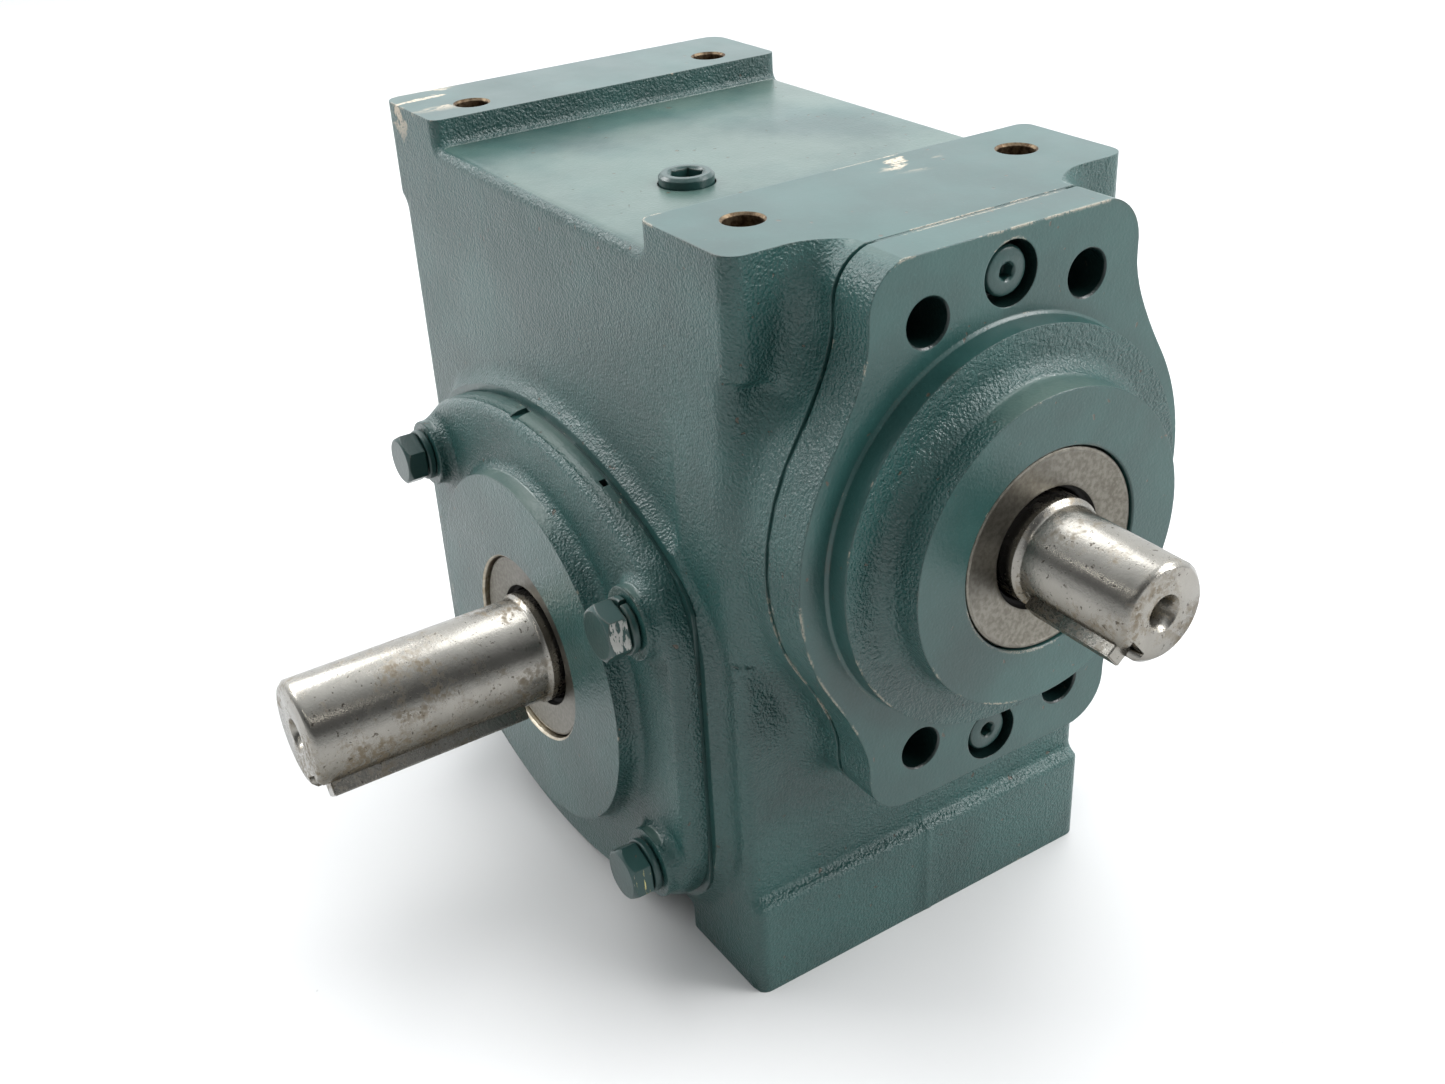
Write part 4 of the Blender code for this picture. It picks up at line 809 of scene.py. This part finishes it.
def make_lock_washer(node, sign, turn):
    """A split spring washer: its two square-cut ends stand a little apart."""
    low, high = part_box(node)
    middle = Vector(((low.x + high.x) / 2, 0, (low.z + high.z) / 2))
    base, top = sorted((abs(low.y), abs(high.y)))
    outer, inner = 0.0071, 0.0044
    thick = (top - base) * 0.86
    rise = (top - base) - thick
    place = frame_along(Y_AXIS * sign, middle)
    steps, split, edge = 60, radians(11), 0.0003
    data = bmesh.new()
    rings = []
    for i in range(steps + 1):
        angle = turn + split / 2 + (2 * pi - split) * i / steps
        lift = base + rise * i / steps
        section = [(inner, lift + edge), (inner + edge, lift), (outer - edge, lift), (outer, lift + edge),
                   (outer, lift + thick - edge), (outer - edge, lift + thick), (inner + edge, lift + thick),
                   (inner, lift + thick - edge)]
        rings.append([data.verts.new(place @ Vector((r * cos(angle), r * sin(angle), z))) for r, z in section])
    loft(data, rings, False)
    washer = add_object(node.replace("cover_washer", "lock_washer"), data, (FASTENER_PAINT_SHADED,))
    fit(washer, "casing", "green_paint", node)


def socket_cutter(axis, place, low, high, apothem, turn=0.0):
    data = bmesh.new()
    matrix = frame_along(axis, place)
    reach = apothem / cos(pi / 6)
    rings = [[data.verts.new(matrix @ Vector((reach * cos(turn + pi * i / 3), reach * sin(turn + pi * i / 3), along)))
              for i in range(6)] for along in (low, high)]
    loft(data, rings, False)
    return add_object("socket", data, (FASTENER_PAINT_SHADED,))


def make_flange_screws():
    for node, sign in (("flange_screw_top", 1), ("flange_screw_bottom", -1)):
        low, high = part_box(node)
        place = WORM_LINE + Z_AXIS * sign * SCREW_Z
        top, radius = high.x, 0.0054
        screw = turned(node.replace("flange_screw", "socket_screw"), [
            (low.x, 0.0031), (top - 0.006, 0.0031), (top - 0.006, radius), (top - 0.0008, radius),
            (top - 0.0002, radius - 0.0004), (top, radius - 0.001)], X_AXIS, place, (FASTENER_PAINT_SHADED,), sides=64)
        socket = socket_cutter(X_AXIS, place, top - 0.003, top + 0.01, 0.0017, 0.3)
        rim = turned("socket_rim", [(top - 0.0004, 0.0018), (top + 0.0005, 0.0027)], X_AXIS, place, (FASTENER_PAINT_SHADED,),
                     sides=48)
        fit(machine(screw, [socket, rim]), "casing", "green_paint", node)


def make_plugs():
    for node, axis, place in plug_places():
        radius = 0.0067
        plug = turned(node.replace("plug", "pipe_plug"), [
            (-0.009, radius - 0.0003), (0.0018, radius), (0.0026, radius - 0.0008)], axis, place, (FASTENER_PAINT_SHADED,))
        socket = socket_cutter(axis, place, -0.005, 0.01, 0.0037, 0.4)
        rim = turned("socket_rim", [(0.0020, 0.0040), (0.0032, 0.0052)], axis, place, (FASTENER_PAINT_SHADED,), sides=48)
        fit(machine(plug, [socket, rim]), "casing", "green_paint", node)


def make_end_plug():
    low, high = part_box("rear_end_plug")
    outer = (high.z - low.z) / 2
    plug = turned("rear_end_cup", [
        (high.x, outer - 0.0015), (low.x + 0.0027, outer - 0.0015), (low.x + 0.0018, outer - 0.0035),
        (low.x + 0.0018, 0.0002), (low.x + 0.0006, 0.0002), (low.x + 0.0006, outer - 0.0045),
        (low.x + 0.0001, outer - 0.0028), (low.x, outer - 0.0014), (low.x + 0.0003, outer - 0.0005),
        (low.x + 0.0012, outer), (high.x, outer)], X_AXIS, WORM_LINE, (FASTENER_PAINT_SHADED,), closed=True)
    fit(plug, "casing", "green_paint", "rear_end_plug")


def make_seal(name, node, axis, origin, shaft, low, high, outer):
    """A pressed steel case round a rubber lip, its front face gently dished towards the shaft."""
    lip = shaft + 0.0007
    seal = turned(name, [
        (low, outer - 0.0005), (low + 0.0005, outer), (high - 0.0006, outer), (high - 0.0001, outer - 0.0003),
        (high, outer - 0.0009), (high - 0.0004, outer - 0.0016), (high - 0.0004, lip + 0.0022),
        (high - 0.0009, lip + 0.0011), (high - 0.0024, lip + 0.0008), (high - 0.0030, lip), (low + 0.0026, lip),
        (low, lip + 0.0012)], axis, origin, (SEAL_CASE, RUBBER), closed=True, sides=128)
    lips = lip + 0.00115
    for face in seal.data.polygons:
        away = face.center - (origin + axis * axis.dot(face.center - origin))
        face.material_index = int(away.length < lips)
    fit(seal, "casing", "seal_case", node)


# ---------------------------------------------------------------- shafts and keys

def shaft_piece(name, node, body, axis, origin, cut, profile, key, key_angle, keyway, radius, mouth, hole):
    """The node's own inner length, and a finely turned end from `cut` outwards with its keyway and centre hole."""
    tip = profile[-1][0]
    end = turned(f"{name}_end", profile, axis, origin, (STEEL,), sides=144)
    centre = turned("centre", [
        (tip - 0.0095, 0.0003), (tip - 0.008, hole), (tip - 0.0011, hole), (tip, mouth), (tip + 0.001, mouth + 0.001)],
        axis, origin, (STEEL,), sides=64)
    slot = key_block("keyway", axis, origin, key_angle, radius - key / 2 - GAP, radius + 0.01, key + 2 * GAP,
                     tip - keyway, tip + 0.005, 0)
    machine(end, [centre, slot])
    data = bmesh.new()
    data.from_mesh(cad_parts[node].data)
    bmesh.ops.remove_doubles(data, verts=data.verts, dist=0.00002)
    cutting = bmesh.ops.bisect_plane(data, geom=data.verts[:] + data.edges[:] + data.faces[:], dist=0.00001,
                                     plane_co=origin + axis * cut, plane_no=axis, clear_outer=True)
    rim = [e for e in cutting["geom_cut"] if isinstance(e, bmesh.types.BMEdge)]
    bmesh.ops.holes_fill(data, edges=rim)
    for face in data.faces:
        face.material_index = 0
    inner_mesh = bpy.data.meshes.new(name)
    data.to_mesh(inner_mesh)
    data.free()
    joined = bmesh.new()
    joined.from_mesh(end.data)
    joined.from_mesh(inner_mesh)
    joined.to_mesh(end.data)
    joined.free()
    bpy.data.meshes.remove(inner_mesh)
    soften(end.data)
    end.name = name
    fit(end, body, "bare_steel", node)


def key_block(name, axis, origin, angle, low_r, high_r, width, near, far, bevel):
    """A bar beside a shaft, its section square to the direction at angle."""
    side = Y_AXIS if abs(axis.x) > 0.5 else X_AXIS
    out = side * cos(angle) + Z_AXIS * sin(angle)
    across = axis.cross(out)
    data = bmesh.new()
    rings = []
    for along in (near, far):
        corners = [(low_r, -width / 2), (high_r, -width / 2), (high_r, width / 2), (low_r, width / 2)]
        rings.append([data.verts.new(origin + out * r + across * w + axis * along) for r, w in corners])
    loft(data, rings, False)
    if bevel:
        bmesh.ops.bevel(data, geom=data.edges[:] + data.verts[:], offset=bevel, segments=2, affect="EDGES")
    return add_object(name, data, (KEY_STEEL,))


def make_shafts():
    tip = INPUT_TIP_X
    cut = BOSS_FACE_X - 0.006
    journal_end = BOSS_FACE_X + 0.0015
    shaft_piece("input_shaft_and_worm", "worm_shaft", "worm", X_AXIS, WORM_LINE, cut, [
        (cut, INPUT_JOURNAL_R), (journal_end - 0.0003, INPUT_JOURNAL_R), (journal_end, INPUT_JOURNAL_R - 0.0004),
        (journal_end + 0.0004, INPUT_R + 0.0003), (journal_end + 0.001, INPUT_R), (tip - 0.0012, INPUT_R),
        (tip - 0.0002, INPUT_R - 0.0009), (tip, INPUT_R - 0.0012)], INPUT_KEY, INPUT_KEY_ANGLE, 0.0272, INPUT_R,
        0.0042, 0.003)
    key = key_block("input_drive_key", X_AXIS, WORM_LINE, INPUT_KEY_ANGLE, INPUT_R - INPUT_KEY / 2,
                    INPUT_R + INPUT_KEY / 2, INPUT_KEY, tip - 0.0268, tip - 0.0028, 0.00025)
    fit(key, "worm", "bare_steel", "input_key")
    tip = -OUTPUT_TIP_Y
    cut, shoulder = 0.0640, 0.0701
    shaft_piece("output_drive_shaft", "output_shaft", "output", -Y_AXIS, WHEEL_CENTRE, cut, [
        (cut, OUTPUT_JOURNAL_R), (shoulder - 0.0003, OUTPUT_JOURNAL_R), (shoulder, OUTPUT_JOURNAL_R - 0.0003),
        (shoulder + 0.0005, OUTPUT_R + 0.0002), (shoulder + 0.001, OUTPUT_R), (tip - 0.0014, OUTPUT_R),
        (tip - 0.0002, OUTPUT_R - 0.0011), (tip, OUTPUT_R - 0.0015)], OUTPUT_KEY, OUTPUT_KEY_ANGLE, 0.0573,
        OUTPUT_R, 0.0046, 0.0034)
    key = key_block("output_drive_key", -Y_AXIS, WHEEL_CENTRE, OUTPUT_KEY_ANGLE, OUTPUT_R - OUTPUT_KEY / 2,
                    OUTPUT_R + OUTPUT_KEY / 2, OUTPUT_KEY, tip - 0.057, tip - 0.0032, 0.0003)
    fit(key, "output", "bare_steel", "output_key")


def make_gasket(node, axis):
    """The gasket's edge, filled out by paint until it is nearly flush with the castings."""
    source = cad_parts[node]
    mesh = source.data.copy()
    middle = WORM_LINE if axis is X_AXIS else WHEEL_CENTRE
    along = [v.co.dot(axis) for v in mesh.vertices]
    low, high = min(along), max(along)
    for vert, height in zip(mesh.vertices, along):
        away = vert.co - middle
        away -= axis * away.dot(axis)
        if away.length > 0.0525:
            vert.co += away.normalized() * 0.00022
        if axis is X_AXIS and abs(away.z) > LOBE_TOP - 0.001:
            vert.co.z = HEIGHT - 0.00008 if away.z > 0 else WORM_Z - LOBE_TOP + 0.0002
        vert.co += axis * (0.00022 if height > (low + high) / 2 else -0.00022)
    mesh.materials.clear()
    mesh.materials.append(FASTENER_PAINT_SHADED)
    gasket = bpy.data.objects.new(node.replace("gasket", "joint_gasket"), mesh)
    bpy.context.scene.collection.objects.link(gasket)
    fit(gasket, "casing", "gasket_fibre", node)


def finish_inner_nodes():
    """The nodes that stay as packed get their own node materials."""
    finishes = {"gasket": FIBRE, "cup": STEEL, "cone": STEEL, "rollers": STEEL, "spacer": STEEL, "wheel_key": KEY_STEEL,
                "wheel_hub": IRON, "worm_wheel": BRONZE}
    for name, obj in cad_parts.items():
        for word, material in finishes.items():
            if word in name and not obj.hide_render:
                obj.data.materials.clear()
                obj.data.materials.append(material)


# ---------------------------------------------------------------- stage

# The camera that was fitted to the photo
CAMERA_LENS = 39.35
CAMERA_PLACE = (0.26202, -0.20986, 0.29832)
CAMERA_RIGHT = (0.54857, 0.83470, -0.04833)
CAMERA_UP = (-0.39096, 0.30718, 0.86763)


def make_floor():
    data = bmesh.new()
    bmesh.ops.create_grid(data, x_segments=2, y_segments=2, size=4)
    n = Nodes("pale_floor")
    colour = n.mix(n.noise(3.0, 3.0), (0.60, 0.60, 0.60), (0.64, 0.64, 0.64))
    specks = n.band(n.noise(160, 2.0), 0.77, 0.79)
    colour = n.mix(n.math("MULTIPLY", specks, 0.5), colour, (0.35, 0.35, 0.35))
    n.finish(colour, 0.55, softness=0)
    floor = add_object("floor", data, (n.material,))
    if floor.data.polygons[0].normal.z < 0:
        floor.data.flip_normals()


def area_light(name, place, target, size, size_y, power, colour=(1, 1, 1)):
    light = bpy.data.lights.new(name, "AREA")
    light.shape = "RECTANGLE"
    light.size, light.size_y = size, size_y
    light.energy = power
    light.color = colour
    obj = bpy.data.objects.new(name, light)
    obj.location = place
    obj.rotation_euler = (Vector(target) - Vector(place)).to_track_quat("-Z", "Y").to_euler()
    bpy.context.scene.collection.objects.link(obj)


def make_world():
    """Soft light from all round: bright behind and above the object, dimmer on the near side, pale low down."""
    world = bpy.data.worlds.new("studio")
    bpy.context.scene.world = world
    world.use_nodes = True
    tree = world.node_tree
    place = tree.nodes.new("ShaderNodeTexCoord").outputs["Generated"]

    def ramp(value, *limits):
        node = tree.nodes.new("ShaderNodeMapRange")
        node.interpolation_type = "SMOOTHSTEP"
        for name, limit in zip(("From Min", "From Max", "To Min", "To Max"), limits):
            node.inputs[name].default_value = limit
        tree.links.new(value, node.inputs["Value"])
        return node.outputs[0]

    towards = tree.nodes.new("ShaderNodeVectorMath")
    towards.operation = "DOT_PRODUCT"
    towards.inputs[1].default_value = (-0.62, 0.45, 0.45)
    tree.links.new(place, towards.inputs[0])
    height = tree.nodes.new("ShaderNodeSeparateXYZ")
    tree.links.new(place, height.inputs[0])
    brighter = tree.nodes.new("ShaderNodeMath")
    brighter.operation = "MAXIMUM"
    tree.links.new(ramp(towards.outputs["Value"], -0.3, 0.6, 0.18, 1.7), brighter.inputs[0])
    tree.links.new(ramp(height.outputs["Z"], 0.34, 0.10, 0, 0.8), brighter.inputs[1])
    tree.links.new(brighter.outputs[0], tree.nodes["Background"].inputs["Strength"])
    tree.nodes["Background"].inputs["Color"].default_value = (0.95, 0.98, 1, 1)


def make_lights():
    middle = (WHEEL_X + 0.03, 0, 0.1)
    area_light("overhead", (-0.45, 0.25, 1.35), middle, 1.1, 0.9, 11)
    area_light("right_window", (0.62, 0.95, 1.15), middle, 0.8, 0.45, 15)
    area_light("low_window", (0.86, 0.75, 0.56), middle, 0.5, 0.3, 6)
    area_light("left_window", (-0.95, -0.62, 0.88), middle, 0.7, 0.45, 9)
    area_light("strip", (0.5, -1.2, 1.3), middle, 1.4, 0.03, 1.3, (1, 0.97, 0.90))
    bpy.context.scene.view_settings.view_transform = "Standard"


def make_camera():
    data = bpy.data.cameras.new("camera")
    data.sensor_width = 36
    data.lens = CAMERA_LENS
    data.clip_start = 0.01
    camera = bpy.data.objects.new("camera", data)
    right, up = Vector(CAMERA_RIGHT).normalized(), Vector(CAMERA_UP).normalized()
    turn = Matrix((right, up, right.cross(up))).transposed().to_4x4()
    camera.matrix_world = Matrix.Translation(CAMERA_PLACE) @ turn
    bpy.context.scene.collection.objects.link(camera)
    bpy.context.scene.camera = camera


make_housing()
make_input_flange()
make_cover("output_cover_casting", "output_cover", -1, -COVER_LOW.y, True)
make_cover("blind_cover_casting", "blind_cover", 1, BLIND_HIGH.y, False)
for word, side_sign in (("output", -1), ("blind", 1)):
    for number in range(1, 5):
        make_bolt(f"{word}_cover_bolt_{number}", side_sign)
        make_lock_washer(f"{word}_cover_washer_{number}", side_sign, radians(80 * number))
make_flange_screws()
make_plugs()
make_end_plug()
make_seal("input_oil_seal", "input_seal", X_AXIS, WORM_LINE, INPUT_JOURNAL_R, INPUT_SEAL_LOW.x, INPUT_SEAL_HIGH.x,
          (INPUT_SEAL_HIGH.z - INPUT_SEAL_LOW.z) / 2)
make_seal("output_oil_seal", "output_seal", -Y_AXIS, WHEEL_CENTRE, OUTPUT_JOURNAL_R, -OUTPUT_SEAL_HIGH.y,
          -OUTPUT_SEAL_LOW.y, (OUTPUT_SEAL_HIGH.z - OUTPUT_SEAL_LOW.z) / 2)
make_shafts()
make_gasket("input_gasket", X_AXIS)
make_gasket("output_gasket", Y_AXIS)
make_gasket("blind_gasket", Y_AXIS)
finish_inner_nodes()
make_floor()
make_world()
make_lights()
make_camera()
